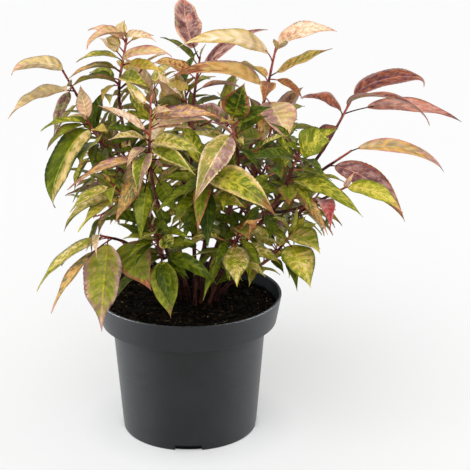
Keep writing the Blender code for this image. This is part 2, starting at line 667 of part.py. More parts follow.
def largest_body(mesh):
    """Keeps a mesh's largest connected body, which drops loose scraps and fills sealed hollows."""
    work = bmesh.new()
    work.from_mesh(mesh)
    bmesh.ops.remove_doubles(work, verts=work.verts, dist=1e-6)
    bmesh.ops.dissolve_degenerate(work, edges=work.edges, dist=1e-6)
    bmesh.ops.triangulate(work, faces=work.faces)
    bodies, seen = [], set()
    for face in work.faces:
        if face in seen:
            continue
        seen.add(face)
        body, edge_of = [], [face]
        while edge_of:
            current = edge_of.pop()
            body.append(current)
            for edge in current.edges:
                for neighbour in edge.link_faces:
                    if neighbour not in seen:
                        seen.add(neighbour)
                        edge_of.append(neighbour)
        bodies.append(body)
    bodies.sort(key=len)
    for body in bodies[:-1]:
        bmesh.ops.delete(work, geom=body, context="FACES")
    bmesh.ops.recalc_face_normals(work, faces=work.faces)
    work.to_mesh(mesh)
    work.free()


def fuse(name, solids):
    """One object that unites a leafy stem with all that grows on it."""
    item = solid_object(name, solids[0])
    bpy.context.scene.collection.objects.link(item)
    group = bpy.data.collections.new(f"{name}_pieces")
    bpy.context.scene.collection.children.link(group)
    for number, solid in enumerate(solids[1:]):
        group.objects.link(solid_object(f"{name}_piece_{number}", solid))
    union = item.modifiers.new("union", "BOOLEAN")
    union.operation = "UNION"
    union.operand_type = "COLLECTION"
    union.collection = group
    union.solver = "EXACT"
    scene_state = bpy.context.evaluated_depsgraph_get()
    fused = bpy.data.meshes.new_from_object(item.evaluated_get(scene_state))
    item.modifiers.clear()
    item.data = fused
    largest_body(fused)
    for piece in list(group.objects):
        bpy.data.objects.remove(piece)
    bpy.data.collections.remove(group)
    return item


def main():
    for item in list(bpy.data.objects):
        bpy.data.objects.remove(item)
    plant = bpy.data.objects.new("potted_leucothoe", None)
    bpy.context.scene.collection.objects.link(plant)
    pot = make_pot()
    soil = make_soil()
    limbs, limb_solids = make_limbs()
    made = [pot, soil]
    for shoot in SHOOTS:
        kind = "bough" if isinstance(shoot.start[0], str) else "stem"
        limb = solid_object(f"{kind}_{shoot.name}", limb_solids[shoot.name])
        bpy.context.scene.collection.objects.link(limb)
        smooth(limb, 75)
        limb.data.materials.append(material(f"bark_{shoot.name}", (0.10, 0.035, 0.035), 0.6))
        made.append(limb)
    fixed = [space_of(pot), space_of(soil)] + [Space(solid) for solid in limb_solids.values()]
    masses = grow_masses(limbs, fixed)
    for shoot in SHOOTS:
        mass = fuse(f"leaves_{shoot.name}", masses[shoot.name])
        smooth(mass, 35)
        mass.data.materials.clear()
        mass.data.materials.append(material(f"foliage_{shoot.name}", shoot.colour, 0.5))
        made.append(mass)
    for item in made:
        item.parent = plant


main()
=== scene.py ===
"""Looks of the potted leucothoe: bark, variegated leaves, potting soil and the moulded pot.

Every limb, leafy stem, twig and leaf is grown here by the rule that the solids were grown by. Where that
rule tried several forms of a leaf, the one that the frame holds is taken, so each fine leaf lies along
its solid. Finer twigs, with small leaves, and young leaves at the ends of the stems then grow on.
"""

import math
import random
from collections import namedtuple

import bmesh
import bpy
import numpy as np
from mathutils import Matrix, Vector
from mathutils.bvhtree import BVHTree
from mathutils.kdtree import KDTree


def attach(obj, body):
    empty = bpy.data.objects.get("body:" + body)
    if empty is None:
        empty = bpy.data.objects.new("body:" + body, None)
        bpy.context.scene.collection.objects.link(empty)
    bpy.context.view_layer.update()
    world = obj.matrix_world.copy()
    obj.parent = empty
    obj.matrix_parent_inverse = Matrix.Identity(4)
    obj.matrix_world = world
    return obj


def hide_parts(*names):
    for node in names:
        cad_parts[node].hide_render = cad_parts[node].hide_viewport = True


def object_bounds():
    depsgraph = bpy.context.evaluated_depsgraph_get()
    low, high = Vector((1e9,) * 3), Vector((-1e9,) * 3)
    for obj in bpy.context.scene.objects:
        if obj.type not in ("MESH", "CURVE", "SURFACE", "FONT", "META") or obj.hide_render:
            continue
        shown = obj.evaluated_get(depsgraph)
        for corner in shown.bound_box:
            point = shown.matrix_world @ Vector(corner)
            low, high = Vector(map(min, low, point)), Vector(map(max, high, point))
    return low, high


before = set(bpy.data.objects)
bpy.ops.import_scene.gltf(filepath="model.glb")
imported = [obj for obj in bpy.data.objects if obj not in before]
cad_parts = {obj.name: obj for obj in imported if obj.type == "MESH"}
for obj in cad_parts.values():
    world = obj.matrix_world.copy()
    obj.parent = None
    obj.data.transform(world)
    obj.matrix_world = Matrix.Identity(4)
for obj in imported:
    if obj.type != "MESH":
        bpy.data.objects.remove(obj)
cad_low, cad_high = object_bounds()

MM = 0.001
GAP = 0.0003  # between solids that fit together

# Pot and soil, as in the solids
POT_HEIGHT = 0.1456
RIM_RADIUS = 0.095
RIM_FOOT_RADIUS = 0.0896
RIM_BAND = 0.0287
BODY_TOP_RADIUS = 0.0786
BASE_RADIUS = 0.0694
WALL = 0.0019
FLOOR = 0.0085
NOTCHES = 4
NOTCH_WIDTH = 0.027
NOTCH_HEIGHT = 0.006
NOTCH_DEPTH = 0.010
SOIL_TOP = 0.1345

# Pot and soil, as only this script has them
POT_STEPS = 160  # sides of the pot
SOIL_STEPS = 144  # and of the soil
SOIL_RINGS = 46  # on the soil's surface
AXIS_HOLE = 0.0004  # radius of the hole that turned shapes leave at their axis
LEVEL = 0.3  # of a face's normal, from which it looks up
SHARP = math.radians(35)  # between faces, from which the pot's edges are sharp
POT_TONES = ((0.30, (0.0030, 0.0033, 0.0042, 1)), (0.75, (0.0080, 0.0086, 0.0102, 1)))
POT_FINISHES = (  # name, shine and roughness
    ("pot_plastic", 0.36, (0.30, 0.56)), ("pot_inside", 0.03, (0.7, 0.9)), ("pot_lip", 0.20, (0.45, 0.65)))
OUTSIDE, INSIDE, LIP = range(3)  # places of those finishes in the list
SOIL_BUMPS = ((0.0022, 160, 3), (0.0020, 420, 5))  # rise, noise cells in a metre, and seed
SOIL_TONES = (0.35, 0.8)  # of the noise, from which the soil is lighter, and lightest
SOIL_SINK = 0.0018  # of the surface at the wall
SINK_FROM = 0.06  # radius
SINK_REACH = 0.03
FOOT_ROOM = 0.0032  # from the middle of a stem's foot to the nearest crumb
CRUMBS = 1500
MOSSY_FROM = 0.068  # outside this radius the soil has more light flecks
CRUMB_TONES = (0, 0, 1, 1, 2)  # dealt to plain crumbs, as the families and tones below are to others
CHIPS = (("chip", 0), ("chip", 0), ("chip", 1))
FIBRES = (("soil", 2), ("chip", 0), ("chip", 1), ("chip", 2))
FLECKS = (("fleck", 0), ("fleck", 0), ("fleck", 1), ("fleck", 2))

# The growth rule, as in the solids
STEM_RADIUS = 0.0024
BOUGH_RADIUS = 0.0018
TIP_RADIUS = 0.0014
SHOOT_END_RADIUS = 0.0009
LIMB_BENDS = 5
FOOT_FLARE = 1.25
FOOT_LEAN = 0.55
FORK_ANGLE = math.radians(55)
HANDLE = 0.36
BOW_STEP = 0.004
SHOOT_BENDS = 4
TWIG_RADIUS = 0.0010
TWIG_END_RADIUS = 0.0008
TWIG_LENGTH = 0.042
TWIG_BENDS = 2
TWIG_LEAVES = 3
TWIG_LEAF_SIZE = 0.8  # of the length of the leafy stem's leaves
FIRST_LEAF = 0.10
LAST_LEAF = 0.95
GOLDEN_ANGLE = math.radians(137.5)
AIM_STEP = 5  # mm, and AIM_ROLL_STEP degrees, between the forms of an aimed leaf
AIM_ROLL_STEP = 9
LEAF_WIDTH = 0.30
LEAF_TWIST = math.radians(14)
PETIOLE = 8
WIDEST_RISE = 0.7
WIDEST_FALL = 1.3
OUTWARD_TILT = 0.45
LIGHT = Vector((0.0, -0.45, 1.0))
SHADE = Vector((0.0, 0.0, 0.7))
CROWN_MIDDLE = Vector((0.035, 0.0, 0.28))
ATTEMPTS = 16
SAME_PLACE = 0.0001  # a form that ends this near a corner of the frame is the one it holds

# Bends of the same curves where they are drawn finely
FINE_LIMB_BENDS = 40
FINE_STEM_BENDS = 24
FINE_TWIG_BENDS = 12

# Fine leaves
FULL_DETAIL = (50, (0.05, 0.16, 0.29, 0.42, 0.55, 0.68, 0.81, 0.92, 1))
DETAIL = {  # rows along a blade, and the lines across half of it
    "blunt": FULL_DETAIL, "broad": FULL_DETAIL, "aimed": FULL_DETAIL,
    "grown": (34, (0.06, 0.23, 0.42, 0.61, 0.80, 0.93, 1)),
    "small": (26, (0.07, 0.30, 0.55, 0.80, 1)),
    "young": (16, (0.09, 0.55, 1))}
UNDER_LINES = ((-0.5, 0.0, 0.5), (0.0,))
BROAD = 28  # mm, width from which an aimed leaf lies flatter
FOLD = (0.24, 0.56)  # rise of a blade's edges from its midrib, of its half-width
FLAT_FOLD = (0.10, 0.30)  # and of a broad one's
SLIM = {"aimed": 0.82}  # of the solid's width, because the solids' leaves are flatter
VEIN_SLANT = 0.5  # how far the side veins run forward from the midrib to the edge
SIDE_VEINS = 9  # pairs
BLADE_THICKNESS = 0.0006
LOPSIDED = 0.07  # of the half-width, by which one side of a blade may be the wider
RAGGED = 0.03  # and by which its edge strays
TEETH = 21  # on each edge
TOOTH = 0.022  # of the half-width
TOOTHED_TO = 0.93  # of the length
DRAWN_FROM = 0.62  # of the length, from which the tip is drawn out
DRAWN_OUT = 0.30  # of the half-width, by which it is narrower at its end
WAVES = (1.6, 2.8)  # along each edge
WAVE_RISE = (0.05, 0.11)  # of the half-width
STREAKS = (20, 2.2)  # noise cells along a blade and across half of it, as in the next four
SPECKS = (42, 8)
ZONES = (3, 1.4)
SPOTS = (34, 5)
SHADING = (5, 1.6)
EDGE_CELLS = 10  # along the edge of a blade
HALF_SHIFT = 40  # cells by which the noise of each half of a blade is moved, so that they differ
PATTERN_MIX = (0.38, 0.30, 0.32, 0.18)  # of streaks, specks, zones and grain
PATTERN_SLOPE = 0.22  # of the noise, over which one colour runs into the next
SPOT_SLOPE = 0.20
TIP_SLOPE = 0.26
SPOTLESS = 0.80  # share of a blade without fine spots
SPOT_SHOWS = 0.35  # how far a fine spot takes the margin's colour
RIB_SHOWS = 0.6  # and the midrib its own
LIGHTEST_BLADE = (0.78, 1.52)  # of a tint's colours, from a blade's darkest to its lightest places
QUILT = 0.00022  # rise of the blade between its side veins, on a blade of QUILT_SIZE
QUILT_SIZE = 0.011  # half-width
LEAST_HALF_WIDTH = 0.00025
BLUNT_WIDTH = 0.70  # of the solid's width
PETIOLE_WIDE = 0.0008
PETIOLE_THIN = 0.00055

# Bark
BARK_RING = 0.0014  # between the rings of a fine limb
RIDGES = 0.16  # rise of the bark's ridges, of the radius
FLARE = 0.12  # and of the swelling at a limb's root
FLARE_LENGTH = 0.005
LIMB_CORNERS = 12
TWIG_CORNERS = 8
KNOT_SPACING = 0.013  # between the joints of a stem, where leaves grow or grew
KNOT_RISE = 0.16  # of the radius
KNOT_LENGTH = 0.09  # of the spacing
BARK_TONES = (0.38, 0.66)  # of the noise, from which the bark is lighter, and lightest
LIMB_SPREAD = (0.90, 1.10)  # mean radius of a limb at its foot and tip, of the solid's corners
TWIG_SPREAD = (1.12, 1.12)
YOUNG_BARK = 0.55  # of the way along, where bark turns from old to young

# Finer growth
BUSHY = 3  # grown leaves that a shoot with finer growth has at least
BARE_ENDS = ("crest", "right_top", "right")  # shoots with no young leaves at their end
RED_ENDS = ("front_left",)  # and with crimson ones
MORE_LEAVES = 9  # tried on each leafy stem
MORE_SIZE = 0.72  # of the length of the solids' leaves
FINE_TWIGS = 6  # tried on each shoot
FINE_TWIG_LEAVES = 4
FEWEST_LEAVES = 2  # with which a fine twig is kept
FINE_TWIG_LENGTH = (18, 30)  # mm
FINE_TWIG_LEAF = (30, 44)  # mm
FINE_LEAF_WIDTH = 0.29  # of the length
FINE_PETIOLE = 3  # mm
TUFT_LEAVES = 4
TUFT_LEAF = (13, 19)  # mm, and TUFT_STEP more for each leaf before it
TUFT_STEP = 3
TUFT_PETIOLE = 2
YOUNG_TINTS = ("orange", "peach", "gold", "pink_mauve", "bronze_olive", "olive")
YOUNG_FROM = 0.72  # of the way along a leafy stem, where its leaves are young
YOUNG_HEIGHT = 0.33  # and only stems that end above this have them
REACH = 0.013  # furthest that finer growth strays from the solids
CORE_REACH = 0.030  # and within the crown's core
CORE = (0.13, 0.11, 0.13)  # half the core's size, about the crown's middle
CLEAR = 0.0010  # nearest that it comes to them
CELL = 0.0022  # what a point of it keeps for itself

# Floor
FLOOR_REACH = 100
PALE_IN_NOTCH = 0.004  # how far the pale floor goes in under the drain notches, before the dark disc of painted shade
PAINTED_FLOOR_GLOW = (0.19, 0.27)  # painted glow of the floor, which fades the shadows on it: at the pot, where less of it paints a contact shadow, and from the reach below on out
# how far from the pot's axis the painted contact shadow reaches
PAINTED_SHADOW_REACH = 0.12

# Light: strengths, and places in metres
SURROUNDINGS = 0.77
LAMPS_FACE = (0.03, 0.0, 0.15)  # where every lamp points
KEY = (1.02, (-0.8, -2.2, 3.2))
KEY_ANGLE = math.radians(50)
FILL = (8.0, (0.2, -2.0, 1.5))
FILL_SIZE = 1.4
STRIPS = (("left_strip", 265.0, (-1.3, 0.1, 0.75)), ("right_strip", 230.0, (1.3, 0.1, 0.75)))
STRIP_SIZE = (1.3, 1.2)
STRIP_COLOUR = (0.90, 0.95, 1.0)

# Main view
CAMERA_PLACE = (0.0471, -1.5127, 0.7285)
CAMERA_TILT = 19.01  # degrees below level
CAMERA_LENS = 121.3

# Plain colours, as three tones of each family, in display values
TONES = {
    "deep": ((23, 34, 4), (44, 59, 10), (66, 83, 18)),
    "green": ((66, 77, 8), (92, 103, 16), (118, 129, 30)),
    "fresh": ((104, 109, 14), (132, 135, 26), (158, 159, 44)),
    "lime": ((150, 140, 30), (182, 170, 48), (208, 196, 80)),
    "straw": ((180, 150, 80), (208, 182, 112), (230, 208, 150)),
    "cream": ((212, 180, 138), (233, 207, 169), (244, 228, 204)),
    "ochre": ((172, 124, 54), (204, 156, 80), (226, 184, 114)),
    "peach": ((188, 130, 94), (216, 164, 128), (234, 194, 166)),
    "rose": ((164, 92, 80), (194, 126, 108), (218, 160, 142)),
    "crimson": ((124, 28, 40), (166, 52, 62), (196, 94, 92)),
    "bronze": ((100, 60, 30), (136, 92, 54), (166, 126, 84)),
    "rust": ((108, 54, 34), (144, 80, 54), (174, 112, 82)),
    "plum": ((68, 36, 38), (100, 60, 62), (134, 92, 92)),
    "mauve": ((134, 94, 86), (164, 124, 114), (194, 158, 148)),
    "sage": ((92, 94, 52), (118, 120, 74), (148, 146, 104)),
    "moss": ((104, 101, 38), (137, 131, 52), (163, 155, 72)),
    "tan": ((132, 110, 76), (166, 142, 102), (192, 168, 126)),
    "bark": ((42, 22, 19), (66, 35, 30), (92, 53, 45)),
    "stalk": ((66, 28, 27), (94, 44, 40), (126, 68, 58)),
    "shoot": ((118, 42, 42), (148, 64, 56), (182, 104, 86)),
    "soil": ((9, 7, 5), (19, 15, 11), (40, 33, 25)),
    "chip": ((44, 28, 18), (72, 49, 32), (112, 84, 56)),
    "fleck": ((96, 92, 40), (134, 128, 68), (176, 168, 118)),
}
FAMILIES = tuple(TONES)
SHADES = 5  # of each family: its three tones and one between each two
PALETTE = np.array([(np.array(tones[shade // 2]) + np.array(tones[(shade + 1) // 2])) / 2
                    for tones in TONES.values() for shade in range(SHADES)])
DULL = ("deep", "green", "plum", "bronze", "rust")  # families whose leaves shine less
LEAF_COLOURS = FAMILIES.index("bark") * SHADES  # the palette's leaf colours come before the bark's
UNDERSIDE = np.array((156, 150, 108))  # what a blade's colours pale towards underneath: partly the underside's own paler colour, partly painted light shining through the blade
PALING = 0.38  # and how far they do
LIFT = 1.035  # by which the leaves' materials are lighter than their palette
DRY_FINISH = ((0.80, 1.00), 1600, 0.0005, 0.08)  # roughness, grain, its depth, and shine
BARK_FINISH = ((0.45, 0.70), 900, 0.0004, 0.18)
LEAF_FINISH = ((0.34, 0.52), 1100, 0.0003)
LEAF_SHINE = (0.34, 0.14)  # of a leaf, and of a dull one
FLOOR_FINISH = ((0.7, 0.9), 20, 0.0001, 0.2)

# How a leaf is coloured: its blade, patches over a share of that, a margin of a share of the half-width,
# the outer share of its length, and its midrib. A halved one has its patches on one side of the midrib.
Tint = namedtuple("Tint", "blade patch cover margin edge tip outer rib halved", defaults=(False,))
TINTS = {
    "gold": Tint("straw", "cream", 0.45, "ochre", 0.14, "peach", 0.10, "cream"),
    "ochre_pink": Tint("peach", "straw", 0.45, "rose", 0.16, "rose", 0.20, "cream"),
    "salmon_tip": Tint("cream", "straw", 0.45, "peach", 0.16, "peach", 0.28, "cream"),
    "bronze_tip": Tint("ochre", "straw", 0.36, "mauve", 0.16, "rust", 0.40, "straw"),
    "orange": Tint("ochre", "rust", 0.35, "rust", 0.14, "rose", 0.20, "straw"),
    "orange_margin": Tint("green", "lime", 0.38, "straw", 0.22, "bronze", 0.24, "lime"),
    "ochre_red": Tint("tan", "ochre", 0.45, "rose", 0.18, "mauve", 0.36, "straw"),
    "tan_olive": Tint("ochre", "moss", 0.45, "tan", 0.16, "bronze", 0.20, "straw"),
    "tan_pink": Tint("tan", "peach", 0.30, "mauve", 0.16, "rose", 0.16, "straw"),
    "olive": Tint("lime", "ochre", 0.45, "ochre", 0.16, "bronze", 0.12, "straw"),
    "pale_pink": Tint("cream", "peach", 0.35, "peach", 0.16, "rose", 0.14, "cream"),
    "peach": Tint("peach", "cream", 0.40, "rose", 0.14, "rose", 0.15, "cream"),
    "pink_tip": Tint("tan", "straw", 0.45, "tan", 0.20, "peach", 0.30, "cream"),
    "pink_mauve": Tint("mauve", "straw", 0.40, "peach", 0.20, "rose", 0.15, "cream"),
    "pink_purple": Tint("ochre", "mauve", 0.50, "plum", 0.16, "rust", 0.20, "straw"),
    "pink_brown": Tint("rose", "mauve", 0.45, "rust", 0.14, "plum", 0.20, "peach"),
    "red_bronze": Tint("rust", "plum", 0.40, "mauve", 0.18, "mauve", 0.20, "rose"),
    "red_brown": Tint("rust", "bronze", 0.40, "ochre", 0.16, "rust", 0.20, "ochre"),
    "purple_red": Tint("plum", "mauve", 0.35, "rust", 0.14, "bronze", 0.30, "rose"),
    "crimson": Tint("crimson", "rose", 0.35, "rose", 0.14, "crimson", 0.15, "rose"),
    "purple_green": Tint("plum", "green", 0.38, "mauve", 0.20, "plum", 0.20, "mauve"),
    "purple_edge": Tint("green", "fresh", 0.36, "plum", 0.24, "plum", 0.16, "fresh"),
    "dusk": Tint("plum", "mauve", 0.48, "peach", 0.16, "rose", 0.14, "peach"),
    "mauve": Tint("mauve", "plum", 0.35, "rose", 0.14, "mauve", 0.12, "peach"),
    "bronze_vein": Tint("bronze", "plum", 0.40, "plum", 0.16, "bronze", 0.12, "ochre"),
    "bronze_margin": Tint("moss", "fresh", 0.45, "mauve", 0.26, "mauve", 0.28, "lime"),
    "bronze_olive": Tint("ochre", "sage", 0.48, "bronze", 0.16, "rose", 0.20, "straw"),
    "green_bronze": Tint("green", "fresh", 0.36, "bronze", 0.26, "rust", 0.26, "fresh"),
    "dark_bronze": Tint("deep", "fresh", 0.26, "rust", 0.22, "bronze", 0.15, "fresh"),
    "grey": Tint("sage", "plum", 0.38, "mauve", 0.20, "plum", 0.20, "straw"),
    "darkest": Tint("deep", "green", 0.15, "deep", 0.10, "deep", 0.10, "green"),
    "dark": Tint("deep", "green", 0.45, "green", 0.10, "deep", 0.10, "green"),
    "dark_yellow": Tint("deep", "lime", 0.32, "straw", 0.12, "green", 0.10, "green"),
    "yellow_dark": Tint("fresh", "straw", 0.42, "green", 0.20, "bronze", 0.12, "straw"),
    "mid": Tint("green", "fresh", 0.42, "deep", 0.12, "green", 0.10, "fresh"),
    "fresh": Tint("fresh", "lime", 0.40, "green", 0.16, "fresh", 0.10, "lime"),
    "red_tip": Tint("green", "fresh", 0.45, "fresh", 0.12, "rust", 0.18, "fresh"),
    "yellow_edge": Tint("green", "lime", 0.36, "straw", 0.18, "fresh", 0.10, "lime"),
    "cream_edge": Tint("green", "fresh", 0.40, "straw", 0.24, "straw", 0.10, "fresh"),
    "variegated": Tint("green", "lime", 0.45, "green", 0.14, "fresh", 0.10, "lime"),
    "mottled": Tint("fresh", "straw", 0.42, "green", 0.14, "lime", 0.10, "lime"),
    "cream_mottled": Tint("straw", "fresh", 0.34, "cream", 0.16, "peach", 0.14, "cream"),
    "cream_green": Tint("straw", "fresh", 0.48, "sage", 0.18, "lime", 0.10, "lime"),
    "lime_yellow": Tint("lime", "straw", 0.42, "fresh", 0.16, "lime", 0.10, "cream"),
    "lime_red": Tint("lime", "fresh", 0.40, "fresh", 0.14, "rose", 0.20, "straw"),
    "pale_half": Tint("green", "straw", 0.44, "deep", 0.12, "bronze", 0.12, "lime", True),
    "halved_dark": Tint("green", "mauve", 0.44, "straw", 0.12, "plum", 0.16, "straw", True),
    "halved": Tint("moss", "mauve", 0.44, "cream", 0.14, "bronze", 0.12, "cream", True),
}

# A leaf that is placed by where its tip reaches (mm), with its tint, its place along the leafy stem
# (0 to 1), its width and petiole (mm), its arch and roll (degrees), and whether it is narrow and blunt
Aim = namedtuple("Aim", "tint along x y z width arch roll petiole blunt",
                 defaults=(20, 30, 0, PETIOLE, False))

# A limb and the mass at its tip. A stem's start is its place on the soil (mm); a bough's is the limb
# it forks from and how far along that (0 to 1). The limb ends at tip and the leafy stem at end (mm).
# leaves are grown by rule, length is theirs (mm), twigs are the side twigs, and tints are dealt to them.
Shoot = namedtuple("Shoot", "name start tip end leaves length twigs seed tints aimed")

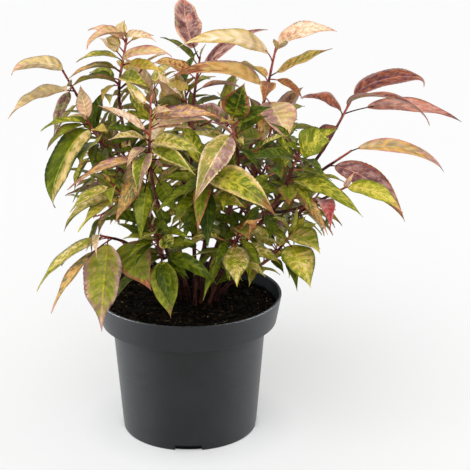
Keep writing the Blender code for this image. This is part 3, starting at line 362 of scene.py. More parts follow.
SHOOTS = (
    Shoot("crest", (16, 10), (74, 0, 340), (88, -2, 406), 2, 60, 0, 4, ("olive", "gold"), (
        Aim("gold", 0.72, -7, -60, 413, 26, 52, -20, 16),
        Aim("bronze_tip", 0.24, -16, -45, 380, 25, 50, -20, 12),
        Aim("pale_pink", 1.0, 145, -12, 418, 24, 40, 20, 3),
        Aim("tan_olive", 0.50, 138, -55, 411, 22, 6, 14, 10),
        Aim("bronze_olive", 0.05, 73, -50, 314, 24, 34),
        Aim("red_brown", 0.40, 73, -55, 358, 20, 30, 0),
        Aim("red_brown", 0.45, 113, -15, 352, 14, 40, 0),
        Aim("pink_mauve", 0.16, 98, -62, 322, 38, 18, 0, 12))),
    Shoot("crest_left", (6, 24), (5, 10, 330), (13, 4, 390), 2, 62, 0, 9, ("mauve", "mid"), (
        Aim("dusk", 1.0, -2, 26, 442, 40, 52, 34, 13, True),
        Aim("mauve", 0.62, 80, 45, 408, 15, 40, 20, 10),
        Aim("orange", 0.62, -37, 25, 377, 22, 56, 0, 8),
        Aim("olive", 0.35, -24, 30, 356, 20, 30, 0, 8))),
    Shoot("top_left", (-4, 20), (-66, -5, 345), (-57, -8, 413), 3, 58, 1, 5,
          ("variegated", "olive", "gold"), (
        Aim("ochre_pink", 1.0, -93, -42, 407, 22, 84, -10, 4),
        Aim("ochre_pink", 0.96, -96, 8, 415, 13, 50, -10, 4),
        Aim("salmon_tip", 0.97, -28, -32, 412, 13, 88, 0, 4),
        Aim("ochre_pink", 0.62, -13, -25, 396, 16, 78, 0, 6),
        Aim("yellow_dark", 0.66, -105, -25, 391, 18, 46, 0, 6),
        Aim("bronze_olive", 0.50, -111, -55, 381, 18, 34, 0, 6),
        Aim("mid", 0.36, -103, 5, 366, 18, 34),
        Aim("green_bronze", 0.28, -109, -70, 375, 19, 32),
        Aim("yellow_edge", 0.40, -33, -60, 374, 22, 32),
        Aim("mottled", 0.10, -71, -60, 358, 18, 30))),
    Shoot("far_left", ("top_left", 0.62), (-92, -12, 330), (-119, -20, 382), 1, 56, 0, 3,
          ("pink_tip", "yellow_edge"), (
        Aim("pink_tip", 1.0, -167, -30, 379, 22, 88, -20, 4),
        Aim("pink_tip", 0.62, -173, -25, 335, 24, 42, -10, 8),
        Aim("grey", 0.72, -127, -45, 324, 22, 14, 0, 6),
        Aim("yellow_edge", 0.40, -132, 5, 310, 17, 16))),
    Shoot("left", ("top_left", 0.50), (-72, -40, 300), (-93, -60, 342), 3, 66, 1, 9,
          ("mid", "dark", "variegated"), (
        Aim("purple_edge", 0.95, -130, -80, 319, 18, 48),
        Aim("pale_half", 0.80, -122, -95, 267, 36, 86),
        Aim("tan_pink", 0.92, -100, -40, 372, 20, 24),
        Aim("red_tip", 0.45, -96, -125, 311, 34, 40, -12),
        Aim("mid", 0.62, -106, -75, 345, 22, 34))),
    Shoot("front_left", (0, 2), (-33, -72, 298), (-31, -85, 361), 4, 64, 0, 4,
          ("cream_green", "dark", "pink_mauve"), (
        Aim("pink_purple", 0.86, 35, -100, 356, 19, 40),
        Aim("pale_pink", 0.62, -78, -105, 369, 15, 18),
        Aim("cream_mottled", 0.50, -69, -115, 339, 17, 26),
        Aim("cream_green", 0.46, 18, -120, 326, 22, 40),
        Aim("cream_edge", 0.36, 11, -130, 310, 19, 34),
        Aim("halved_dark", 0.28, -41, -140, 291, 23, 40),
        Aim("pink_purple", 0.15, -107, -125, 294, 19, 34),
        Aim("gold", 0.20, -17, -50, 346, 22, 30),
        Aim("mid", 0.08, -41, -122, 244, 27, 20, 0, 24),
        Aim("mid", 0.04, -9, -86, 259, 24, 24, 0, 16),
        Aim("bronze_olive", 0.02, -64, -96, 262, 22, 24, 0, 16))),
    Shoot("left_low", ("front_left", 0.60), (-46, -84, 262), (-68, -108, 296), 2, 64, 0, 6,
          ("variegated", "fresh"), (
        Aim("cream_green", 0.85, -105, -130, 274, 20, 40),
        Aim("cream_green", 0.60, -110, -110, 258, 20, 40),
        Aim("lime_yellow", 0.50, -98, -140, 255, 24, 36),
        Aim("dark", 0.10, -75, -125, 263, 26, 40),
        Aim("pink_tip", 0.25, -52, -112, 309, 24, 30))),
    Shoot("pot_left", (-10, 8), (-57, -48, 214), (-82, -84, 236), 1, 66, 0, 7, ("dark", "green_bronze"), (
        Aim("bronze_margin", 0.75, -81, -104, 145, 44, 16, 0, 6),
        Aim("green_bronze", 0.28, -32, -112, 190, 38, 24, 0, 8),
        Aim("cream_green", 0.90, -143, -95, 183, 20, 34, 0, 6),
        Aim("bronze_olive", 0.60, -128, -112, 167, 17, 30, 0, 24),
        Aim("purple_green", 0.50, -150, -60, 197, 14, 40, 0, 24),
        Aim("salmon_tip", 1.0, -81, -130, 230, 12, 44, 0, 4))),
    Shoot("pot_front", ("front_left", 0.42), (-22, -62, 205), (-30, -94, 248), 5, 66, 0, 3, ("dark", "mid"), (
        Aim("red_tip", 0.30, -15, -90, 153, 28, 14),
        Aim("dark", 0.10, -75, -48, 150, 24, 26),
        Aim("fresh", 0.80, -41, -128, 244, 27, 30),
        Aim("dark_yellow", 0.90, -14, -92, 226, 22, 50),
        Aim("dark", 1.0, -13, -84, 256, 22, 50),
        Aim("fresh", 0.60, -58, -120, 240, 22, 40))),
    Shoot("front", (12, -4), (50, -68, 300), (44, -76, 346), 3, 66, 0, 5,
          ("variegated", "cream_green", "dark"), (
        Aim("dark_bronze", 1.0, 56, -92, 387, 29, 12),
        Aim("purple_green", 0.85, 7, -60, 357, 24, 50),
        Aim("halved", 0.80, 10, -135, 285, 28, 34, -10),
        Aim("cream_green", 0.66, 19, -100, 325, 15, 30),
        Aim("green_bronze", 0.60, 73, -40, 326, 24, 30))),
    Shoot("front_low", (6, -8), (22, -68, 262), (18, -88, 304), 5, 72, 1, 8, ("dark", "variegated", "mid"), (
        Aim("orange_margin", 0.80, 85, -140, 273, 31, 50),
        Aim("darkest", 0.55, 22, -125, 236, 22, 24),
        Aim("green_bronze", 0.70, 13, -140, 258, 21, 44),
        Aim("mid", 0.40, -10, -118, 262, 27, 40),
        Aim("dark", 0.30, -2, -100, 235, 22, 34),
        Aim("fresh", 0.10, -15, -108, 241, 24, 34),
        Aim("mottled", 0.12, 57, -118, 273, 24, 34))),
    Shoot("right_top", (24, 18), (134, -10, 300), (162, -14, 354), 0, 50, 0, 4, ("red_bronze",), (
        Aim("red_bronze", 1.0, 234, 15, 357, 22, 88, 12, 6),
        Aim("red_bronze", 0.80, 231, -45, 339, 18, 80, 10, 6),
        Aim("pink_brown", 0.72, 269, -10, 328, 21, 32, 15, 22),
        Aim("red_bronze", 0.66, 110, -30, 357, 24, 60, 0, 8))),
    Shoot("right", ("right_top", 0.66), (127, -45, 286), (158, -60, 313), 0, 46, 0, 6, ("purple_red",), (
        Aim("ochre_red", 1.0, 247, -60, 292, 19, 52, 10),
        Aim("purple_red", 0.35, 207, -100, 255, 28, 44, 12))),
    Shoot("right_low", ("right_top", 0.58), (124, -62, 262), (150, -84, 283), 0, 40, 0, 2, ("lime_red",), (
        Aim("lime_red", 1.0, 202, -125, 272, 24, 44, 10),
        Aim("crimson", 0.10, 134, -150, 264, 22, 30, 0, 10),
        Aim("dark", 0.20, 132, -30, 222, 20, 34))),
    Shoot("front_right", (20, -6), (94, -60, 276), (109, -72, 318), 4, 64, 1, 9,
          ("variegated", "mid", "dark"), (
        Aim("variegated", 1.0, 136, -78, 327, 34, 88, 0, 4),
        Aim("bronze_vein", 0.85, 145, -50, 333, 17, 60, 0, 24),
        Aim("dark", 0.75, 61, -110, 320, 21, 30),
        Aim("variegated", 0.20, 166, -120, 266, 25, 30),
        Aim("pale_pink", 0.0, 165, -80, 245, 15, 42, 0, 34),
        Aim("bronze_olive", 0.04, 135, -95, 240, 16, 34),
        Aim("green_bronze", 0.12, 98, -92, 268, 24, 34))),
    Shoot("pot_right", (28, 4), (84, -42, 200), (100, -60, 226), 4, 60, 0, 5, ("mottled", "dark", "fresh"), (
        Aim("mottled", 0.90, 128, -98, 222, 28, 60, 0, 6),
        Aim("mottled", 0.84, 119, -105, 190, 33, 30, 0, 10),
        Aim("grey", 0.30, 79, -60, 209, 11, 24))),
    Shoot("centre_low", ("front", 0.46), (38, -50, 206), (50, -76, 232), 4, 60, 0, 7,
          ("mid", "cream_green", "dark"), (
        Aim("cream_green", 0.75, 49, -115, 195, 28, 30),
        Aim("mid", 0.45, 40, -95, 195, 22, 30),
        Aim("mid", 0.60, 73, -85, 206, 22, 30),
        Aim("green_bronze", 1.0, 61, -135, 247, 24, 44),
        Aim("orange", 0.90, 73, -112, 252, 22, 50),
        Aim("dark", 1.0, 73, -95, 265, 22, 30))),
    Shoot("middle_left", (-9, 15), (-48, 20, 246), (-72, 26, 300), 8, 66, 1, 8,
          ("dark", "bronze_vein", "green_bronze", "mid"), ()),
    Shoot("middle_right", (27, 12), (66, 22, 244), (88, 26, 294), 8, 66, 1, 5,
          ("dark", "mid", "purple_edge"), ()),
    Shoot("middle_back", (5, 42), (2, 48, 284), (-4, 58, 346), 8, 66, 1, 9,
          ("mid", "peach", "variegated", "dark"), ()),
    Shoot("back_left", (-2, 30), (-62, 54, 250), (-88, 84, 298), 9, 70, 2, 3,
          ("mid", "variegated", "fresh", "yellow_edge", "pink_mauve"), ()),
    Shoot("back_left_low", ("back_left", 0.52), (-70, 88, 206), (-94, 122, 226), 8, 70, 1, 4,
          ("green_bronze", "dark", "red_tip", "orange_margin"), ()),
    Shoot("back_top", ("back", 0.60), (-22, 70, 278), (-38, 98, 334), 9, 72, 1, 6,
          ("cream_green", "gold", "mottled", "pale_pink"), ()),
    Shoot("back", (12, 36), (26, 88, 250), (36, 130, 306), 9, 76, 2, 7,
          ("variegated", "mid", "fresh", "pink_tip", "dark"), ()),
    Shoot("back_low", ("back", 0.45), (14, 108, 196), (16, 154, 220), 8, 76, 1, 5,
          ("fresh", "dark", "lime_yellow", "mid"), ()),
    Shoot("back_right", (24, 32), (70, 58, 256), (88, 86, 304), 9, 70, 1, 1,
          ("purple_edge", "variegated", "mid", "red_bronze"), ()),
    Shoot("back_right_low", ("back_right", 0.48), (84, 88, 204), (110, 118, 226), 8, 70, 1, 2,
          ("mid", "dark", "yellow_edge", "red_tip"), ()),
    Shoot("side_right", ("right_top", 0.48), (106, 52, 204), (124, 76, 222), 8, 58, 1, 6,
          ("green_bronze", "red_tip", "dark", "mid"), ()),
)

# The shoots whose leaves one piece holds, and a slot name for that piece
FOLIAGE = (
    ("foliage_crest", "foliage_ochre", ("crest", "crest_left", "top_left")),
    ("foliage_left", "foliage_lime", ("far_left", "left", "left_low", "pot_left")),
    ("foliage_front", "foliage_cream", ("front_left", "front", "front_low")),
    ("foliage_right", "foliage_red", ("right_top", "right", "right_low", "front_right", "side_right")),
    ("foliage_low", "foliage_green", ("pot_front", "pot_right", "centre_low")),
    ("foliage_middle", "foliage_bronze", ("middle_left", "middle_right", "middle_back")),
    ("foliage_back", "foliage_peach", ("back_left", "back_top", "back")),
    ("foliage_back_low", "foliage_green", ("back_left_low", "back_low", "back_right", "back_right_low")),
)

Leaf = namedtuple("Leaf", "root first last tip side width petiole roll tint seed detail")
Limb = namedtuple("Limb", "points start_radius end_radius seed")


# Curves

def bezier(ends, share):
    """Point, or array of them, on a cubic curve given by its start, two handles and end."""
    start, first, last, end = ends
    back = 1.0 - share
    return (start * back ** 3 + first * 3 * back ** 2 * share
            + last * 3 * back * share ** 2 + end * share ** 3)


def curve_points(start, start_way, end, end_way, bends):
    """Points of a smooth curve that leaves start along start_way and reaches end along end_way."""
    handle = (end - start).length * HANDLE
    ends = (start, start + start_way * handle, end - end_way * handle, end)
    return [bezier(ends, step / bends) for step in range(bends + 1)]


def point_on(path, share):
    """Point at a share of the way along a path of points."""
    place = min(share, 1.0) * (len(path) - 1)
    index = min(int(place), len(path) - 2)
    return path[index].lerp(path[index + 1], place - index)


def way_on(path, share):
    """Direction of the path there."""
    index = min(int(min(share, 1.0) * (len(path) - 1)), len(path) - 2)
    return (path[index + 1] - path[index]).normalized()


def across(way):
    """A unit vector square to way."""
    side = way.cross(Vector((0, 0, 1)))
    return side.normalized() if side.length > 0.01 else Vector((1, 0, 0))


def frames_along(path, ends=(None, None)):
    """Side and cross vectors at each point of a path, turned as little as they can be."""
    last = len(path) - 1
    side = across((path[1] - path[0]).normalized())
    frames = []
    for index in range(last + 1):
        way = (path[min(index + 1, last)] - path[max(index - 1, 0)]).normalized()
        if index == 0 and ends[0]:
            way = ends[0]
        if index == last and ends[1]:
            way = ends[1]
        side = (side - way * side.dot(way)).normalized()
        frames.append((side, way.cross(side)))
    return frames


# Growth

def metres(place):
    return Vector(place) * MM


def forks(shoot):
    """Whether a shoot's limb is a bough, which forks off another limb."""
    return isinstance(shoot.start[0], str)


def limb_node(shoot):
    return f"{'bough' if forks(shoot) else 'stem'}_{shoot.name}"


def square_to(axis, turn):
    """A unit vector square to axis, turned about it."""
    return Matrix.Rotation(turn, 3, axis) @ across(axis)


def swing_step(attempt):
    """0, 1, -1, 2, -2 and so on: how far the forms of a limb, twig or leaf were turned aside."""
    return (attempt + 1) // 2 * (1 if attempt % 2 else -1)


def limb_path(shoot, limbs, bow, bends):
    """Points of a shoot's limb, its first and last ways, and its radius at the start."""
    tip, end = metres(shoot.tip), metres(shoot.end)
    if forks(shoot):
        parent, share = shoot.start
        path, start_radius = limbs[parent][:2]
        fork, axis = point_on(path, share), way_on(path, share)
        parent_radius = start_radius + (TIP_RADIUS - start_radius) * share
        radius = BOUGH_RADIUS
        outward = tip - fork
        outward = (outward - axis * outward.dot(axis)).normalized()
        start_way = outward * math.sin(FORK_ANGLE) + axis * math.cos(FORK_ANGLE)
        stand_off = (parent_radius + GAP + radius * math.cos(FORK_ANGLE)) / math.sin(FORK_ANGLE)
        start = fork + start_way * stand_off
        first_face = start_way
    else:
        start = Vector((shoot.start[0] * MM, shoot.start[1] * MM, SOIL_TOP + GAP))
        radius = STEM_RADIUS
        start_way = Vector((0, 0, 1)).lerp((tip - start).normalized(), FOOT_LEAN).normalized()
        first_face = Vector((0, 0, 1))
    end_way = ((tip - start).normalized() + (end - tip).normalized()).normalized()
    path = curve_points(start, start_way, tip, end_way, bends)
    swing = across(end_way)
    path = [point + swing * (bow * BOW_STEP * math.sin(math.pi * index / bends))
            for index, point in enumerate(path)]
    return path, radius, first_face, end_way


def corners_of(node):
    """Search tree over a frame node's corners."""
    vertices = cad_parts[node].data.vertices
    tree = KDTree(len(vertices))
    for index, vertex in enumerate(vertices):
        tree.insert(vertex.co, index)
    tree.balance()
    return tree


def holds(tree, point):
    return tree.find(point)[2] < SAME_PLACE


def middle_corner(path, radius, ends):
    """A corner of the solid limb's third ring."""
    side = frames_along(path, ends)[2][0]
    return path[2] + side * (radius + (TIP_RADIUS - radius) * 2 / LIMB_BENDS)


def find_limbs():
    """Coarse path, radius, last way and bow of each limb, as the frame holds it."""
    limbs, bows = {}, {}
    for shoot in sorted(SHOOTS, key=forks):
        tree = corners_of(limb_node(shoot))
        for attempt in range(ATTEMPTS):
            path, radius, first_face, end_way = limb_path(shoot, limbs, swing_step(attempt), LIMB_BENDS)
            flare = 1.0 if forks(shoot) else FOOT_FLARE
            if holds(tree, middle_corner(path, radius * flare, (first_face, end_way))):
                break
        else:
            raise ValueError(f"the frame's limb {shoot.name} isn't one that the rule grows")
        limbs[shoot.name] = (path, radius, end_way)
        bows[shoot.name] = swing_step(attempt)
    return limbs, bows


def leaf_between(root, tip, width, arch, roll, petiole, turned, tint, seed, detail):
    """Leaf that leaves root, arches and reaches tip. Its upper face looks outward and to turned."""
    span = tip - root
    along = span.normalized()
    outward = Vector((tip.x - CROWN_MIDDLE.x, tip.y - CROWN_MIDDLE.y, 0.0)).normalized()
    upward = (turned + outward * OUTWARD_TILT).normalized()
    side = along.cross(upward).normalized()
    lift = side.cross(along)
    handle = span.length * HANDLE
    rise, run = math.sin(arch), math.cos(arch)
    first = root + (along * run + lift * rise) * handle
    last = tip - (along * run - lift * rise) * handle
    return Leaf(root, first, last, tip, side, width, petiole / span.length, roll, tint, seed, detail)


def aimed_leaf(shoot, path, number, attempt):
    """Leaf of a shoot that reaches the place it is aimed at, nearer or further where it must."""
    aim = shoot.aimed[number]
    root = point_on(path, aim.along * LAST_LEAF)
    step = swing_step(attempt)
    tip = metres((aim.x, aim.y, aim.z)) + Vector((0, step * AIM_STEP * MM, 0))
    roll = math.radians(aim.roll + AIM_ROLL_STEP * step)
    detail = "blunt" if aim.blunt else "broad" if aim.width >= BROAD else "aimed"
    return leaf_between(root, tip, aim.width * MM, math.radians(aim.arch), roll, aim.petiole * MM,
                        LIGHT, aim.tint, shoot.seed * 100 + number, detail)


def grown_leaf(path, length, count, index, seed, attempt, tints):
    """Leaf of a leafy stem or twig by rule: they turn round it, and lower ones droop more."""
    chance = random.Random(seed * 1000 + index)
    along = FIRST_LEAF + (1 - FIRST_LEAF) * (index + 0.6) / count
    root, axis = point_on(path, along), way_on(path, along)
    step = swing_step(attempt)
    turn = GOLDEN_ANGLE * index + seed + chance.uniform(-0.3, 0.3) + 0.33 * step
    outward = square_to(axis, turn)
    rise = math.radians(8 + 38 * along + chance.uniform(-8, 8))
    way = outward * math.cos(rise) + axis * math.sin(rise)
    way.z -= 0.55 * (1 - 0.7 * along) + chance.uniform(-0.1, 0.15)
    size = length * chance.uniform(0.85, 1.12) * (1 - 0.25 * along) * (1 - 0.02 * attempt) * MM
    tip = root + way.normalized() * size
    width = size * LEAF_WIDTH * chance.uniform(0.85, 1.15)
    arch = math.radians(chance.uniform(22, 42))
    roll = math.radians(chance.uniform(-22, 22))
    tint = tints[index % len(tints)]
    return leaf_between(root, tip, width, arch, roll, PETIOLE * MM, SHADE, tint, seed * 100 + 30 + index,
                        "grown")


def twig_path(path, index, seed, attempt, bends=TWIG_BENDS):
    """Points of a side twig of a leafy stem."""
    chance = random.Random(seed * 1000 + 500 + index)
    along = 0.25 + 0.3 * index + chance.uniform(-0.08, 0.08)
    root, axis = point_on(path, along), way_on(path, along)
    step = swing_step(attempt)
    turn = seed * 2 + math.pi * index + chance.uniform(-0.4, 0.4) + 0.5 * step
    outward = square_to(axis, turn)
    way = (outward * 0.9 + axis * 0.45).normalized()
    end = root + way * TWIG_LENGTH * chance.uniform(0.85, 1.1)
    return curve_points(root, way, end, (way + Vector((0, 0, 0.4))).normalized(), bends)


def held_leaf(tree, make):
    """The form of a leaf that the frame holds, or None where it holds none."""
    for attempt in range(ATTEMPTS):
        leaf = make(attempt)
        if holds(tree, leaf.tip):
            return leaf
    return None


def find_mass(shoot, limbs):
    """Leafy stem, twigs and leaves of a mass, as the frame holds them."""
    tree = corners_of(f"leaves_{shoot.name}")
    end_way = limbs[shoot.name][2]
    start = metres(shoot.tip) + end_way * GAP
    end = metres(shoot.end)
    last_way = (end - start).normalized()
    path = curve_points(start, end_way, end, last_way, SHOOT_BENDS)
    fine = curve_points(start, end_way, end, last_way, FINE_STEM_BENDS)
    stems = [Limb(fine, TIP_RADIUS, SHOOT_END_RADIUS, shoot.seed)]
    leaves = [held_leaf(tree, lambda attempt: aimed_leaf(shoot, path, number, attempt))
              for number in range(len(shoot.aimed))]
    leaves += [held_leaf(tree, lambda attempt: grown_leaf(path, shoot.length, shoot.leaves, index,
                                                          shoot.seed, attempt, shoot.tints))
               for index in range(shoot.leaves)]
    for index in range(shoot.twigs):
        twig, grown = held_twig(shoot, path, index, tree)
        if twig:
            stems.append(Limb(twig, TWIG_RADIUS, TWIG_END_RADIUS, shoot.seed + index))
            leaves += grown
    return path, stems, [leaf for leaf in leaves if leaf]


def held_twig(shoot, path, index, tree):
    """Fine path and leaves of a side twig, both None where the frame holds none of its forms."""
    for attempt in range(ATTEMPTS):
        twig = twig_path(path, index, shoot.seed, attempt)
        side = frames_along(twig)[-1][0]
        if holds(tree, twig[-1] + side * TWIG_END_RADIUS):
            break
    else:
        return None, None
    length, seed = shoot.length * TWIG_LEAF_SIZE, shoot.seed + 40 + index
    leaves = [held_leaf(tree, lambda attempt: grown_leaf(twig, length, TWIG_LEAVES, number, seed, attempt,
                                                         shoot.tints))
              for number in range(TWIG_LEAVES)]
    return twig_path(path, index, shoot.seed, attempt, FINE_TWIG_BENDS), [leaf for leaf in leaves if leaf]


# Finer growth

class Room:
    """What the solids and the finer growth so far take up."""

    def __init__(self):
        points, faces = [], []
        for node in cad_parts.values():
            first = len(points)
            points += [vertex.co.copy() for vertex in node.data.vertices]
            faces += [[first + corner for corner in face.vertices] for face in node.data.polygons]
        self.tree = BVHTree.FromPolygons(points, faces)
        self.taken = set()

    def cell(self, point):
        return tuple(math.floor(part / CELL) for part in point)

    def clear(self, point):
        """Whether point is inside the CAD box, near the solids but touching nothing."""
        if any(point[axis] < cad_low[axis] + GAP or point[axis] > cad_high[axis] - GAP
               for axis in range(3)):
            return False
        away = self.tree.find_nearest(point)[3]
        inward = point - CROWN_MIDDLE
        core = Vector((inward.x / CORE[0], inward.y / CORE[1], inward.z / CORE[2])).length < 1
        if away < CLEAR or away > (CORE_REACH if core else REACH):
            return False
        x, y, z = self.cell(point)
        return not any((x + dx, y + dy, z + dz) in self.taken
                       for dx in (-1, 0, 1) for dy in (-1, 0, 1) for dz in (-1, 0, 1))

    def take(self, points):
        """True, and the points' places are taken, where all of them are clear."""
        if not all(self.clear(point) for point in points):
            return False
        self.taken.update(self.cell(point) for point in points)
        return True

    def take_leaf(self, leaf):
        """True, and its place is taken, where a leaf's midline and edges are clear."""
        share = np.linspace(0.28, 1.0, 10)
        middle, side, _ = curve_frame(leaf, share)
        blade = np.clip((share - leaf.petiole) / (1 - leaf.petiole), 0.01, 0.99)
        reach = side * (leaf.width / 2 * blade_share(blade))[:, None]
        lines = np.concatenate((middle, middle + reach, middle - reach))
        return self.take([Vector(point) for point in lines])


def end_tuft(shoot, path, room):
    """Young leaves round the end of a leafy stem."""
    leaves = []
    chance = random.Random(shoot.seed * 77 + len(shoot.name))
    end, axis = path[-1], way_on(path, 1.0)
    for number in range(TUFT_LEAVES):
        outward = square_to(axis, GOLDEN_ANGLE * number + shoot.seed)
        way = (axis * 0.9 + outward * (0.3 + 0.22 * number)).normalized()
        size = chance.uniform(*TUFT_LEAF) * MM + TUFT_STEP * MM * number
        tint = YOUNG_TINTS[(shoot.seed + number) % len(YOUNG_TINTS)]
        if shoot.name in RED_ENDS:
            tint = "crimson"
        leaf = leaf_between(end - axis * 0.001, end + way * size, size * LEAF_WIDTH, math.radians(20),
                            chance.uniform(-0.4, 0.4), TUFT_PETIOLE * MM, SHADE, tint,
                            shoot.seed * 50 + number, "young")
        if room.take_leaf(leaf):
            leaves.append(leaf)
    return leaves


def more_leaves(shoot, path, seed, room):
    """More leaves of the rule's along a leafy stem or limb, smaller than the solids', where they fit."""
    leaves = []
    for index in range(MORE_LEAVES):
        young = (index + 0.6) / MORE_LEAVES > YOUNG_FROM and path[-1].z > YOUNG_HEIGHT
        tints = YOUNG_TINTS[(seed + index) % len(YOUNG_TINTS):] if young else shoot.tints
        for attempt in range(ATTEMPTS):
            leaf = grown_leaf(path, shoot.length * MORE_SIZE, MORE_LEAVES, index, seed, attempt, tints)
            if room.take_leaf(leaf):
                leaves.append(leaf._replace(detail="small"))
                break
    return leaves


def fine_twig(shoot, path, number, room):
    """One more side twig and its small leaves, on a leafy stem or on a limb's upper part, or None twice."""
    chance = random.Random(shoot.seed * 4001 + number * 17 + len(shoot.name))
    for _ in range(ATTEMPTS):
        along = chance.uniform(0.08, 0.92)
        root, axis = point_on(path, along), way_on(path, along)
        outward = square_to(axis, chance.uniform(0, 2 * math.pi))
        way = (outward * 0.9 + axis * 0.5).normalized()
        end = root + way * chance.uniform(*FINE_TWIG_LENGTH) * MM
        twig = curve_points(root, way, end, (way + Vector((0, 0, 0.5))).normalized(), 8)
        if not all(room.clear(point) for point in twig[3:]):
            continue
        leaves = []
        for index in range(FINE_TWIG_LEAVES):
            share = 0.35 + 0.64 * index / (FINE_TWIG_LEAVES - 1)
            start, on = point_on(twig, share), way_on(twig, share)
            turned = square_to(on, GOLDEN_ANGLE * index + number)
            heading = turned * (1.2 - 0.9 * share) + on
            heading.z -= 0.35 * (1 - share)
            size = chance.uniform(*FINE_TWIG_LEAF) * (1.1 - 0.35 * share) * MM
            leaf = leaf_between(start, start + heading.normalized() * size, size * FINE_LEAF_WIDTH,
                                math.radians(chance.uniform(20, 38)), chance.uniform(-0.4, 0.4),
                                FINE_PETIOLE * MM, SHADE, shoot.tints[(index + number) % len(shoot.tints)],
                                shoot.seed * 60 + number * 8 + index, "young")
            if room.take_leaf(leaf):
                leaves.append(leaf)
        if len(leaves) >= FEWEST_LEAVES:
            room.taken.update(room.cell(point) for point in twig)
            return Limb(twig, TWIG_RADIUS * 0.8, TWIG_END_RADIUS * 0.6, number), leaves
    return None, None


# Meshes gathered for one piece

class Heap:
    """Points, four-cornered faces and the colour number of each face."""

    def __init__(self):
        self.points, self.faces, self.colours = [], [], []
        self.count = 0

    def add(self, points, faces, colours):
        self.points.append(points)
        self.faces.append(faces + self.count)
        self.colours.append(colours)
        self.count += len(points)


def colour_number(family, tone):
    return FAMILIES.index(family) * SHADES + tone * 2


def grid_faces(rows, columns, closed):
    """Faces of a grid of rows by columns of points, whose last column meets its first where closed."""
    row, column = np.meshgrid(np.arange(rows - 1), np.arange(columns if closed else columns - 1),
                              indexing="ij")
    after = (column + 1) % columns
    low, high = row * columns, (row + 1) * columns
    return np.stack((low + column, low + after, high + after, high + column), axis=-1).reshape(-1, 4)


FIELD_SIZE = 128
FIELD = np.random.default_rng(11).random((FIELD_SIZE, FIELD_SIZE))


def noise(x, y, seed):
    """Smooth random field between 0 and 1 over two coordinates."""
    chance = random.Random(seed)
    x = x + chance.uniform(0, FIELD_SIZE)
    y = y + chance.uniform(0, FIELD_SIZE)
    column, row = np.floor(x).astype(int), np.floor(y).astype(int)
    right, up = x - column, y - row
    right, up = right ** 2 * (3 - 2 * right), up ** 2 * (3 - 2 * up)
    near, far = column % FIELD_SIZE, (column + 1) % FIELD_SIZE
    low, high = row % FIELD_SIZE, (row + 1) % FIELD_SIZE
    lower = FIELD[near, low] * (1 - right) + FIELD[far, low] * right
    upper = FIELD[near, high] * (1 - right) + FIELD[far, high] * right
    return lower * (1 - up) + upper * up


# Leaves

def unit(vectors):
    """Arrays of vectors made one long."""
    return vectors / np.linalg.norm(vectors, axis=-1, keepdims=True)


def blade_share(share):
    """Half-width of a blade at a share of its length, as a share of its greatest."""
    widest = WIDEST_RISE / (WIDEST_RISE + WIDEST_FALL)
    return (share / widest) ** WIDEST_RISE * ((1 - share) / (1 - widest)) ** WIDEST_FALL


def curve_frame(leaf, share):
    """Points of a leaf's midline, and side and up vectors there, for an array of shares."""
    ends = [np.array(point) for point in (leaf.root, leaf.first, leaf.last, leaf.tip)]
    start, first, last, end = ends
    share = share[..., None]
    back = 1 - share
    ways = unit((first - start) * back ** 2 + (last - first) * 2 * back * share + (end - last) * share ** 2)
    side = np.array(leaf.side)
    side = unit(side - ways * (ways @ side)[..., None])
    turn = leaf.roll + LEAF_TWIST * share
    side = side * np.cos(turn) + np.cross(ways, side) * np.sin(turn)
    return bezier(ends, share), side, np.cross(side, ways)


def blade_points(leaf, lines, rows):
    """Points of a blade's upper face: rows along it, and one column on each of lines."""
    chance = random.Random(leaf.seed * 31 + 7)
    step = np.linspace(0, 1, rows + 1)
    along = (0.75 * step + 0.25 * (1 - np.cos(np.pi * step)) / 2)[:, None]
    out = np.array(lines, float)[None, :]
    share = along + VEIN_SLANT * np.abs(out) * along * (1 - along)
    points, side, up = curve_frame(leaf, leaf.petiole + (1 - leaf.petiole) * share)
    inner = np.clip(share, 1e-4, 1 - 1e-4)
    half = leaf.width / 2 * blade_share(inner) * SLIM.get(leaf.detail, 1.0)
    if leaf.detail == "blunt":
        half = leaf.width / 2 * BLUNT_WIDTH * (4 * inner * (1 - inner)) ** 0.5
    size = leaf.width / 2
    lopsided = 1 + chance.uniform(-LOPSIDED, LOPSIDED) * np.sign(out)
    ragged = 1 + RAGGED * (noise(share * 9, np.sign(out) * 3, leaf.seed) - 0.5)
    teeth = 1 + TOOTH * np.abs(out) * np.sin(2 * np.pi * share * TEETH) * (share < TOOTHED_TO)
    drawn_out = 1 - DRAWN_OUT * np.clip((share - DRAWN_FROM) / (1 - DRAWN_FROM), 0, 1)
    half = np.maximum(half * lopsided * ragged * teeth * drawn_out, LEAST_HALF_WIDTH)
    fold = chance.uniform(*(FLAT_FOLD if leaf.detail in ("broad", "blunt") else FOLD))
    waves = chance.uniform(*WAVE_RISE) * size * np.abs(out) ** 1.6 * np.sin(
        2 * np.pi * (share * chance.uniform(*WAVES) + chance.random() + 0.25 * np.sign(out)))
    waves = waves * np.sin(np.pi * np.clip(share, 0, 1)) ** 0.5
    quilt = QUILT * (size / QUILT_SIZE) * np.abs(out) ** 0.5 * (1 - out ** 2) * np.cos(
        2 * np.pi * SIDE_VEINS * along)
    height = fold * half * (np.abs(out) - 0.6) + waves + quilt
    flat = out * half / math.hypot(1, fold)
    return points + side * flat[..., None] + up * height[..., None], up


def soft_step(value, width):
    """0 where value is well below zero and 1 well above it, with a slope of the given width between."""
    return np.clip(value / width + 0.5, 0, 1)[..., None]


def blend(colour, other, share):
    """Colours moved a share of the way to another."""
    return colour + (other - colour) * share


def nearest_colours(colours):
    """Number of the palette's leaf colour nearest to each of colours."""
    apart = colours[..., None, :] - PALETTE[:LEAF_COLOURS]
    return np.argmin((apart ** 2).sum(axis=-1), axis=-1)


